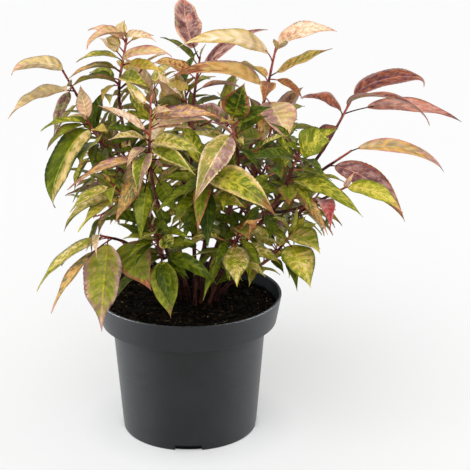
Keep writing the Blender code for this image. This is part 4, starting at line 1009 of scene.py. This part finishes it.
def blade_colours(leaf, lines, rows):
    """Colour number of each face of the upper side, row by row, and of the same row's underside.

    The tint's colours run softly into one another, and each face takes the palette's nearest.
    """
    tint = TINTS[leaf.tint]
    blade, patch, margin, tip, rib = (np.array(TONES[name][1], float) for name in (
        tint.blade, tint.patch, tint.margin, tint.tip, tint.rib))
    middle = (np.array(lines[1:], float) + np.array(lines[:-1], float)) / 2
    along, out = np.meshgrid((np.arange(rows) + 0.5) / rows, middle, indexing="ij")
    hand = np.sign(out) * HALF_SHIFT
    seed = leaf.seed * 13
    streaks = noise(along * STREAKS[0], np.abs(out) * STREAKS[1] + hand, seed)
    specks = noise(along * SPECKS[0], np.abs(out) * SPECKS[1] + hand, seed + 1)
    zones = noise(along * ZONES[0], out * ZONES[1], seed + 2)
    grain = np.random.default_rng(leaf.seed).random(along.shape) - 0.5
    field = sum(part * share for part, share in zip((streaks, specks, zones, grain), PATTERN_MIX))
    if tint.halved:
        field = field * 0.8 + 0.45 * np.clip(out * 3, -0.5, 0.5)
    colour = blend(blade, patch, soft_step(np.quantile(field, tint.cover) - field, PATTERN_SLOPE))
    fine = noise(along * SPOTS[0], np.abs(out) * SPOTS[1] + hand, seed + 5) + 0.3 * grain
    colour = blend(colour, margin, soft_step(fine - np.quantile(fine, SPOTLESS), SPOT_SLOPE) * SPOT_SHOWS)
    reach = tint.edge * (0.45 + 1.1 * noise(along * EDGE_CELLS, hand, seed + 3))
    colour = blend(colour, margin, soft_step(np.abs(out) - 0.12 * grain - 1 + reach, PATTERN_SLOPE))
    reach = tint.outer * (0.5 + streaks)
    colour = blend(colour, tip, soft_step(along - 0.10 * grain - 1 + reach, TIP_SLOPE))
    colour = blend(colour, rib, (np.abs(out) < 0.001)[..., None] * RIB_SHOWS)
    light = (0.50 * noise(along * SHADING[0], out * SHADING[1], seed + 4) + 0.25 * specks + 0.15 * grain
             - 0.09 * np.cos(2 * np.pi * SIDE_VEINS * along))
    colour = colour * (LIGHTEST_BLADE[0] + (LIGHTEST_BLADE[1] - LIGHTEST_BLADE[0]) * light)[..., None]
    # undersides pale: partly their own paler colour, partly painted light shining through the blade
    return nearest_colours(colour), nearest_colours(blend(colour, UNDERSIDE, PALING))


def add_blade(heap, leaf):
    """Upper face and underside of a blade, which share its outline."""
    rows, half = DETAIL[leaf.detail]
    lines = tuple(-line for line in reversed(half)) + half
    under = UNDER_LINES[leaf.detail == "young"]
    upper, _ = blade_points(leaf, lines, rows)
    lower, up = blade_points(leaf, (-1,) + under + (1,), rows)
    lower = lower[:, 1:-1] - up[:, 1:-1] * BLADE_THICKNESS
    columns = len(lines)
    width = columns + len(under)
    points = np.concatenate((upper, lower), axis=1)
    top = grid_faces(rows + 1, columns, False)
    top = top // columns * width + top % columns
    order = np.array([columns - 1, *range(width - 1, columns - 1, -1), 0])
    bottom = grid_faces(rows + 1, len(order), False)
    bottom = bottom // len(order) * width + order[bottom % len(order)]
    top_colours, under_colours = blade_colours(leaf, lines, rows)
    near = np.linspace(len(lines) - 2, 0, len(order) - 1).round().astype(int)
    heap.add(points.reshape(-1, 3), np.concatenate((top, bottom)),
             np.concatenate((top_colours.ravel(), under_colours[:, near].ravel())))


def add_petiole(heap, leaf):
    """Stalk from the leaf's root to its blade, which runs on a little under the midrib."""
    rings, corners, size = (4, 4, 0.7) if leaf.detail == "young" else (6, 5, 1.0)
    share = np.linspace(0, min(leaf.petiole * 1.3, 1), rings)
    points, side, up = curve_frame(leaf, share)
    radius = np.linspace(PETIOLE_WIDE, PETIOLE_THIN, rings)[:, None, None] * size
    turn = (2 * np.pi * np.arange(corners) / corners)[None, :, None]
    ring = (side[:, None] * np.cos(turn) + up[:, None] * np.sin(turn)) * radius
    sunk = (up * np.linspace(0, PETIOLE_THIN * 0.8, rings)[:, None])[:, None]
    faces = grid_faces(rings, corners, True)
    colours = np.full(len(faces), colour_number(("stalk", "shoot")[leaf.seed // 3 % 2], leaf.seed % 3))
    heap.add((points[:, None] + ring - sunk).reshape(-1, 3), faces, colours)


# Bark

def add_bark(heap, limb, corners, families, spreads):
    """Limb with joints where leaves grow or grew, fine ridges along it, and younger bark at its end."""
    length = sum((after - before).length for before, after in zip(limb.points, limb.points[1:]))
    rings = max(6, int(length / BARK_RING))
    path = [point_on(limb.points, step / rings) for step in range(rings + 1)]
    frames = frames_along(path)
    share = np.linspace(0, 1, rings + 1)
    distance = share * length
    radius = limb.start_radius + (limb.end_radius - limb.start_radius) * share
    spread = spreads[0] + (spreads[1] - spreads[0]) * share
    radius = radius * spread * (1 + FLARE * np.exp(-distance / FLARE_LENGTH))
    joint, phase = np.divmod(distance / KNOT_SPACING + limb.seed * 0.37, 1.0)
    knot = KNOT_RISE * np.exp(-((phase - 0.5) / KNOT_LENGTH) ** 2)
    turn = 2 * np.pi * np.arange(corners) / corners
    around = np.arange(corners) * 1.7
    ridges = RIDGES * (noise(distance[:, None] * 260, around[None, :], limb.seed + 3) - 0.5)
    scar = 0.5 + 0.5 * np.cos(turn[None, :] - (joint * GOLDEN_ANGLE)[:, None])
    rise = radius[:, None] * (1 + ridges + knot[:, None] * (0.4 + scar))
    side = np.array([pair[0] for pair in frames])[:, None]
    other = np.array([pair[1] for pair in frames])[:, None]
    ways = side * np.cos(turn)[None, :, None] + other * np.sin(turn)[None, :, None]
    points = np.array(path)[:, None] + ways * rise[..., None]
    faces = grid_faces(rings + 1, corners, True)
    patches = noise(np.repeat(share[:-1], corners) * length * 90,
                    np.tile(np.arange(corners), rings) * 0.4, limb.seed + 9)
    tone = np.digitize(patches + 0.25 * np.repeat(knot[:-1], corners) / KNOT_RISE, BARK_TONES)
    young = np.repeat(share[:-1], corners) + 0.3 * (patches - 0.5) > YOUNG_BARK
    family = np.where(young, FAMILIES.index(families[1]), FAMILIES.index(families[0]))
    heap.add(points.reshape(-1, 3), faces, family * SHADES + tone * 2)


# Materials

def display_to_linear(value):
    """The linear value that a shader takes for a display value of 0 to 255."""
    value = value / 255
    return value / 12.92 if value <= 0.04045 else ((value + 0.055) / 1.055) ** 2.4


def new_material(name):
    """A material and its shader."""
    made = bpy.data.materials.new(name)
    made.use_nodes = True
    return made, made.node_tree.nodes["Principled BSDF"]


def set_inputs(made, node, **inputs):
    """Gives each input of a node its value, or links it from another node's output."""
    for name, value in inputs.items():
        socket = node.inputs[name.replace("_", " ")]
        if isinstance(value, bpy.types.NodeSocket):
            made.node_tree.links.new(value, socket)
        else:
            socket.default_value = value


def add_node(made, kind, output, **inputs):
    """The named output of a new node that has these inputs."""
    node = made.node_tree.nodes.new(f"ShaderNode{kind}")
    set_inputs(made, node, **inputs)
    return node.outputs[output]


def surface(name, colour, roughness, grain, depth, shine):
    """Material of one plain colour, with uneven sheen and fine relief from noise."""
    made, shader = new_material(name)
    colour = (*(display_to_linear(part) for part in colour), 1.0)
    place = add_node(made, "TexCoord", "Object")
    cloud = add_node(made, "TexNoise", "Fac", Vector=place, Scale=grain * 0.2, Detail=3.0)
    sheen = add_node(made, "MapRange", "Result", Value=cloud, To_Min=roughness[0], To_Max=roughness[1])
    bumps = add_node(made, "TexNoise", "Fac", Vector=place, Scale=grain, Detail=4.0)
    relief = add_node(made, "Bump", "Normal", Strength=0.5, Distance=depth, Height=bumps)
    set_inputs(made, shader, Base_Color=colour, Specular_IOR_Level=shine, Roughness=sheen, Normal=relief)
    made.diffuse_color = colour
    return made


def plant_materials():
    """One material for each shade of each family, in the order of the colour numbers."""
    made = []
    for number, colour in enumerate(PALETTE):
        family = FAMILIES[number // SHADES]
        name = f"{family}_{number % SHADES + 1}"
        if family in ("bark", "stalk", "shoot"):
            made.append(surface(name, colour, *BARK_FINISH))
        elif family in ("soil", "chip", "fleck"):
            made.append(surface(name, colour, *DRY_FINISH))
        else:
            made.append(surface(f"leaf_{name}", colour * LIFT, *LEAF_FINISH, LEAF_SHINE[family in DULL]))
    return made


def mesh_object(name, points, faces, materials, slots=0):
    """Object of four-cornered faces, with the place of each face's material in the list, or of all."""
    mesh = bpy.data.meshes.new(name)
    mesh.vertices.add(len(points))
    mesh.vertices.foreach_set("co", points.astype(np.float32).ravel())
    mesh.loops.add(faces.size)
    mesh.loops.foreach_set("vertex_index", faces.astype(np.int32).ravel())
    mesh.polygons.add(len(faces))
    mesh.polygons.foreach_set("loop_start", np.arange(0, faces.size, 4, dtype=np.int32))
    for material in materials:
        mesh.materials.append(material)
    mesh.polygons.foreach_set("material_index", np.broadcast_to(slots, len(faces)).astype(np.int32))
    mesh.update(calc_edges=True)
    item = bpy.data.objects.new(name, mesh)
    bpy.context.scene.collection.objects.link(item)
    return item


def finish_piece(item, slot, *replaced):
    """Lets a piece ride the part's only body and replace frame nodes."""
    item.data.shade_smooth()
    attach(item, "root")
    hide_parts(*replaced)


def piece_of(name, heap, materials, slot, *replaced):
    """One piece of all that a heap holds."""
    used, slots = np.unique(np.concatenate(heap.colours), return_inverse=True)
    item = mesh_object(name, np.concatenate(heap.points), np.concatenate(heap.faces),
                       [materials[number] for number in used], slots)
    finish_piece(item, slot, *replaced)


# Pot and soil

def rounded(corners, steps=5):
    """Profile with each corner (radius, height, rounding) turned into a short curve."""
    profile = []
    for index, (radius, height, rounding) in enumerate(corners):
        here = np.array((radius, height))
        if not rounding:
            profile.append(here)
            continue
        before = np.array(corners[index - 1][:2]) - here
        after = np.array(corners[index + 1][:2]) - here
        start = here + before / np.linalg.norm(before) * rounding
        end = here + after / np.linalg.norm(after) * rounding
        for step in range(steps):
            share = step / (steps - 1)
            profile.append(start * (1 - share) ** 2 + here * 2 * share * (1 - share) + end * share ** 2)
    return profile


def turned(profile, steps):
    """Points and faces of a profile turned about the Z axis."""
    angle = 2 * np.pi * np.arange(steps) / steps
    profile = np.array(profile)
    points = np.stack((
        profile[:, :1] * np.cos(angle), profile[:, :1] * np.sin(angle),
        np.broadcast_to(profile[:, 1:], (len(profile), steps))), axis=-1)
    return points, grid_faces(len(profile), steps, True)


def pot_material(name, shine, roughness):
    """Dark grey moulded plastic: faintly cloudy, with fine scuffs round it and soft highlights."""
    made, shader = new_material(name)
    place = add_node(made, "TexCoord", "Object")
    cloud = add_node(made, "TexNoise", "Fac", Vector=place, Scale=26.0, Detail=6.0)
    tones = made.node_tree.nodes.new("ShaderNodeValToRGB")
    for element, (position, colour) in zip(tones.color_ramp.elements, POT_TONES):
        element.position = position
        element.color = colour
    set_inputs(made, tones, Fac=cloud)
    stretched = add_node(made, "Mapping", "Vector", Vector=place, Scale=(60.0, 60.0, 900.0))
    scuffs = add_node(made, "TexNoise", "Fac", Vector=stretched, Scale=1.0, Detail=5.0)
    sheen = add_node(made, "MapRange", "Result", Value=scuffs, To_Min=roughness[0], To_Max=roughness[1])
    relief = add_node(made, "Bump", "Normal", Strength=0.35, Distance=0.0003, Height=scuffs)
    set_inputs(made, shader, Base_Color=tones.outputs["Color"], Specular_IOR_Level=shine,
               Roughness=sheen, Normal=relief)
    made.diffuse_color = (0.010, 0.010, 0.011, 1)
    return made


def make_pot():
    """Open pot with an overhanging rim band, rounded lip and drain notches in its foot."""
    band_foot = POT_HEIGHT - RIM_BAND
    lip = RIM_RADIUS - 1.5 * WALL
    step = band_foot + WALL
    corners = (
        (AXIS_HOLE, 0, 0), (BASE_RADIUS - 0.0004, 0, 0.0014), (BASE_RADIUS + 0.0002, 0.004, 0),
        (BODY_TOP_RADIUS, band_foot, 0.0007), (RIM_FOOT_RADIUS, band_foot, 0.0008),
        (RIM_RADIUS, POT_HEIGHT, 0.0010), (lip, POT_HEIGHT, 0.0010),
        (RIM_FOOT_RADIUS - WALL, step, 0.0010), (BODY_TOP_RADIUS - WALL, step, 0.0010),
        (BASE_RADIUS - WALL, FLOOR, 0), (AXIS_HOLE, FLOOR, 0))
    points, faces = turned(rounded(corners), POT_STEPS)
    pot = mesh_object("pot_moulding", points.reshape(-1, 3), faces,
                      [pot_material(*finish) for finish in POT_FINISHES])
    cut_notches(pot)
    for face in pot.data.polygons:
        inward = face.normal.x * face.center.x + face.normal.y * face.center.y < 0
        if face.center.z > NOTCH_HEIGHT:
            face.material_index = LIP if face.normal.z > LEVEL else INSIDE if inward else OUTSIDE
    finish_piece(pot, "pot_plastic", "pot")
    pot.data.set_sharp_from_angle(angle=SHARP)
    return pot


def cut_notches(pot):
    """Cuts the drain notches out of the pot's foot, each open outward."""
    work = bmesh.new()
    for number in range(NOTCHES):
        turn = 2 * math.pi * number / NOTCHES
        middle = BASE_RADIUS + 0.002 - NOTCH_DEPTH / 2
        place = (Matrix.Translation((middle * math.sin(turn), -middle * math.cos(turn), 0))
                 @ Matrix.Rotation(turn, 4, "Z")
                 @ Matrix.Diagonal((NOTCH_WIDTH, NOTCH_DEPTH, 2 * NOTCH_HEIGHT, 1)))
        bmesh.ops.create_cube(work, size=1, matrix=place)
    mesh = bpy.data.meshes.new("notches")
    work.to_mesh(mesh)
    work.free()
    cutter = bpy.data.objects.new("notches", mesh)
    bpy.context.scene.collection.objects.link(cutter)
    cut = pot.modifiers.new("notches", "BOOLEAN")
    cut.operation = "DIFFERENCE"
    cut.object = cutter
    shown = bpy.context.evaluated_depsgraph_get()
    notched = bpy.data.meshes.new_from_object(pot.evaluated_get(shown))
    pot.modifiers.clear()
    pot.data = notched
    bpy.data.objects.remove(cutter)


def lump(size, slim, flat, chance):
    """Points and faces of one crumb or fibre of soil: an uneven rounded block."""
    line = np.array((-1.0, 0.0, 1.0))
    first, second = np.meshgrid(line, line, indexing="ij")
    one = np.ones_like(first)
    sides = []
    for axis in range(3):
        for hand in (-1, 1):
            side = [None, None, None]
            side[axis] = one * hand
            side[(axis + 1) % 3], side[(axis + 2) % 3] = (first, second) if hand > 0 else (second, first)
            sides.append(np.stack(side, axis=-1))
    points = np.concatenate([side.reshape(-1, 3) for side in sides])
    faces = np.concatenate([grid_faces(3, 3, False) + 9 * number for number in range(6)])
    points = points / np.linalg.norm(points, axis=1, keepdims=True) ** 0.8
    shape = np.array([chance.uniform(0.7, 1.3), slim * chance.uniform(0.5, 1.1), flat])
    bumps = np.round(points * 7).astype(int)
    column = (bumps[:, 0] * 7 + bumps[:, 1] * 3) % FIELD_SIZE
    jitter = FIELD[column, (bumps[:, 2] * 5 + chance.randrange(FIELD_SIZE)) % FIELD_SIZE]
    points = points * shape * (0.75 + 0.5 * jitter[:, None]) * size / 2
    turn = Matrix.Rotation(chance.uniform(0, 6.3), 3, "Z")
    lean = Matrix.Rotation(chance.uniform(-0.5, 0.5), 3, "X")
    return points @ np.array(turn @ lean).T, faces


def soil_height(x, y):
    """Height of the soil's surface, lumpy and a little lower at the wall."""
    sunk = SOIL_SINK * np.clip((np.hypot(x, y) - SINK_FROM) / SINK_REACH, 0, 1) ** 2
    rough = sum(rise * (noise(x * scale, y * scale, seed) - 0.5) for rise, scale, seed in SOIL_BUMPS)
    return SOIL_TOP - sunk + rough


def crumb_kind(chance, radius):
    """Size, slimness, flatness and colour number of a crumb at this distance from the pot's axis."""
    kind = chance.random()
    size = chance.uniform(1.2, 4.2) * MM * (0.7 + 0.6 * chance.random())
    slim, flat, colour = 1.0, chance.uniform(0.5, 0.9), ("soil", chance.choice(CRUMB_TONES))
    if kind > 0.95:
        size, flat, colour = chance.uniform(3, 6) * MM, 0.22, chance.choice(CHIPS)
    elif kind > 0.72:
        size, slim, flat, colour = chance.uniform(2.5, 7) * MM, 0.16, 0.12, chance.choice(FIBRES)
    elif kind > (0.52 if radius > MOSSY_FROM else 0.68):
        size, slim, colour = chance.uniform(0.8, 2.2) * MM, 0.5, chance.choice(FLECKS)
    return size, slim, flat, colour_number(*colour)


def scatter_crumbs(heap, reach):
    """Crumbs, chips, fibres and flecks on the soil, clear of the stems' feet."""
    chance = random.Random(8)
    feet = [metres((*shoot.start, 0)).xy for shoot in SHOOTS if not forks(shoot)]
    for _ in range(CRUMBS):
        radius, angle = reach * math.sqrt(chance.random()), chance.uniform(0, 2 * math.pi)
        place = Vector((radius * math.cos(angle), radius * math.sin(angle)))
        size, slim, flat, colour = crumb_kind(chance, radius)
        if any((place - foot).length < FOOT_ROOM + size / 2 for foot in feet):
            continue
        crumb, faces = lump(size, slim, flat, chance)
        height = float(soil_height(np.array(place.x), np.array(place.y))) + size * flat * 0.18
        heap.add(crumb + np.array((place.x, place.y, height)), faces, np.full(len(faces), colour))


def make_soil(materials):
    """Fill of the pot with a crumbly surface of peat, bark and a few light flecks."""
    step = POT_HEIGHT - RIM_BAND + WALL + GAP
    slope = (RIM_RADIUS - RIM_FOOT_RADIUS) / RIM_BAND
    foot = RIM_FOOT_RADIUS - WALL - 2 * GAP
    edge = foot + slope * (SOIL_TOP - 0.002 - step)
    rings = [(AXIS_HOLE + (edge - AXIS_HOLE) * number / SOIL_RINGS, 0) for number in range(SOIL_RINGS + 1)]
    below = [(foot, step), (BODY_TOP_RADIUS - WALL - GAP, step), (BASE_RADIUS - WALL - GAP, FLOOR + GAP),
             (AXIS_HOLE, FLOOR + GAP)]
    points, faces = turned((rings + below)[::-1], SOIL_STEPS)
    top = points[::-1][:len(rings)]
    top[..., 2] = soil_height(top[..., 0], top[..., 1])
    ring, side = np.divmod(np.arange(len(faces)), SOIL_STEPS)
    tone = np.digitize(noise(side * 0.3, ring * 0.8, 21), SOIL_TONES)
    heap = Heap()
    heap.add(points.reshape(-1, 3), faces, FAMILIES.index("soil") * SHADES + tone * 2)
    scatter_crumbs(heap, edge - 0.003)
    piece_of("soil_fill", heap, materials, "potting_soil", "soil")


# Plant

def grow_finer(limbs, masses):
    """Adds finer growth to the masses: young leaves at the ends, then more leaves, then more twigs."""
    room = Room()
    for shoot in SHOOTS:
        path, _, leaves = masses[shoot.name]
        if shoot.name not in BARE_ENDS:
            leaves += end_tuft(shoot, path, room)
    bushy = [shoot for shoot in SHOOTS if shoot.leaves >= BUSHY]
    for shoot in bushy:
        path, _, leaves = masses[shoot.name]
        leaves += more_leaves(shoot, path, shoot.seed + 200, room)
        leaves += more_leaves(shoot, limbs[shoot.name][0][-4:], shoot.seed + 300, room)
    for shoot in bushy:
        path, stems, leaves = masses[shoot.name]
        for number in range(FINE_TWIGS):
            on = path if number < FINE_TWIGS / 2 else limbs[shoot.name][0][-3:]
            twig, grown = fine_twig(shoot, on, number, room)
            if twig:
                stems.append(twig)
                leaves += grown


def make_plant(materials):
    """Bark, twigs and leaves, each kind in pieces of its own."""
    limbs, bows = find_limbs()
    masses = {shoot.name: find_mass(shoot, limbs) for shoot in SHOOTS}
    grow_finer(limbs, masses)
    make_bark(limbs, bows, masses, materials)
    for name, slot, members in FOLIAGE:
        heap = Heap()
        for member in members:
            for leaf in masses[member][2]:
                add_blade(heap, leaf)
                add_petiole(heap, leaf)
        piece_of(name, heap, materials, slot, *(f"leaves_{member}" for member in members))


def make_bark(limbs, bows, masses, materials):
    """The stems and boughs in one piece, and every leafy stem and twig in another."""
    old, young = Heap(), Heap()
    for number, shoot in enumerate(SHOOTS):
        path, radius, _, _ = limb_path(shoot, limbs, bows[shoot.name], FINE_LIMB_BENDS)
        limb = Limb(path, radius, TIP_RADIUS, number)
        add_bark(old, limb, LIMB_CORNERS, ("bark", "stalk"), LIMB_SPREAD)
        for stem in masses[shoot.name][1]:
            add_bark(young, stem, TWIG_CORNERS, ("stalk", "shoot"), TWIG_SPREAD)
    piece_of("bark_limbs", old, materials, "bark", *(limb_node(shoot) for shoot in SHOOTS))
    piece_of("bark_twigs", young, materials, "bark", *(f"leaves_{shoot.name}" for shoot in SHOOTS))


# Studio

def make_floor():
    """Pale studio floor that fills the view, and a dark disc of painted shade under the pot, seen through the
    drain notches.
    """
    pale = surface("studio_floor", (214, 214, 214), *FLOOR_FINISH)
    # painted light on the floor, with a painted contact shadow round the pot
    glow_floor_with_painted_pot_shadow(pale)
    # painted shade: a dark disc under the pot, seen as the shade in the drain notches
    dark = surface("floor_under_pot", (40, 40, 40), *FLOOR_FINISH)
    edge = BASE_RADIUS - PALE_IN_NOTCH
    for made, inner, outer in ((dark, 0.0, edge), (pale, edge, FLOOR_REACH)):
        points, faces = turned([(outer, 0), (inner, 0)], 96)
        mesh_object(made.name, points.reshape(-1, 3), faces, [made])


def glow_floor_with_painted_pot_shadow(made):
    """Painted light: the floor's material glows a little, fading its shadows, and less near the pot, a
    painted contact shadow.
    """
    away = made.node_tree.nodes.new("ShaderNodeVectorMath")
    away.operation = "LENGTH"
    set_inputs(made, away, Vector=add_node(made, "TexCoord", "Object"))
    # weaker glow near the pot's foot: a painted contact shadow
    glow = made.node_tree.nodes.new("ShaderNodeMapRange")
    glow.interpolation_type = "SMOOTHSTEP"
    set_inputs(made, glow, Value=away.outputs["Value"], From_Min=BASE_RADIUS - 0.001, From_Max=PAINTED_SHADOW_REACH,
               To_Min=PAINTED_FLOOR_GLOW[0], To_Max=PAINTED_FLOOR_GLOW[1])
    set_inputs(made, made.node_tree.nodes["Principled BSDF"], Emission_Color=(1.0, 1.0, 1.0, 1.0),
               Emission_Strength=glow.outputs["Result"])


def place_lamp(kind, name, energy, place):
    """Stage lamp at place, facing the foot of the plant."""
    light = bpy.data.lights.new(name, kind)
    light.energy = energy
    lamp = bpy.data.objects.new(name, light)
    lamp.location = place
    lamp.rotation_euler = (Vector(LAMPS_FACE) - lamp.location).to_track_quat("-Z", "Y").to_euler()
    bpy.context.scene.collection.objects.link(lamp)
    return lamp


def light_scene(pot):
    """Even white surroundings, soft light from above the left shoulder, and a strip each side of the pot."""
    world = bpy.data.worlds.new("studio")
    world.use_nodes = True
    background = world.node_tree.nodes["Background"]
    background.inputs["Color"].default_value = (1.0, 1.0, 1.0, 1.0)
    background.inputs["Strength"].default_value = SURROUNDINGS
    bpy.context.scene.world = world
    place_lamp("SUN", "key", *KEY).data.angle = KEY_ANGLE
    fill = place_lamp("AREA", "fill", *FILL)
    fill.data.size = FILL_SIZE
    fill.visible_glossy = False
    only_pot = bpy.data.collections.new("only_pot")
    only_pot.objects.link(pot)
    for strip in STRIPS:
        lamp = place_lamp("AREA", *strip)
        lamp.data.shape = "RECTANGLE"
        lamp.data.size, lamp.data.size_y = STRIP_SIZE
        lamp.data.color = STRIP_COLOUR
        lamp.visible_diffuse = False
        lamp.light_linking.receiver_collection = only_pot


def make_camera():
    """Camera of the main view, which looks down on the crown, and the plain view transform."""
    camera = bpy.data.cameras.new("camera")
    camera.sensor_width = 36.0
    camera.lens = CAMERA_LENS
    item = bpy.data.objects.new("camera", camera)
    item.location = CAMERA_PLACE
    item.rotation_euler = (math.radians(90 - CAMERA_TILT), 0, 0)
    bpy.context.scene.collection.objects.link(item)
    bpy.context.scene.camera = item
    bpy.context.scene.view_settings.view_transform = "Standard"


materials = plant_materials()
pot = make_pot()
make_soil(materials)
make_plant(materials)
make_floor()
light_scene(pot)
make_camera()
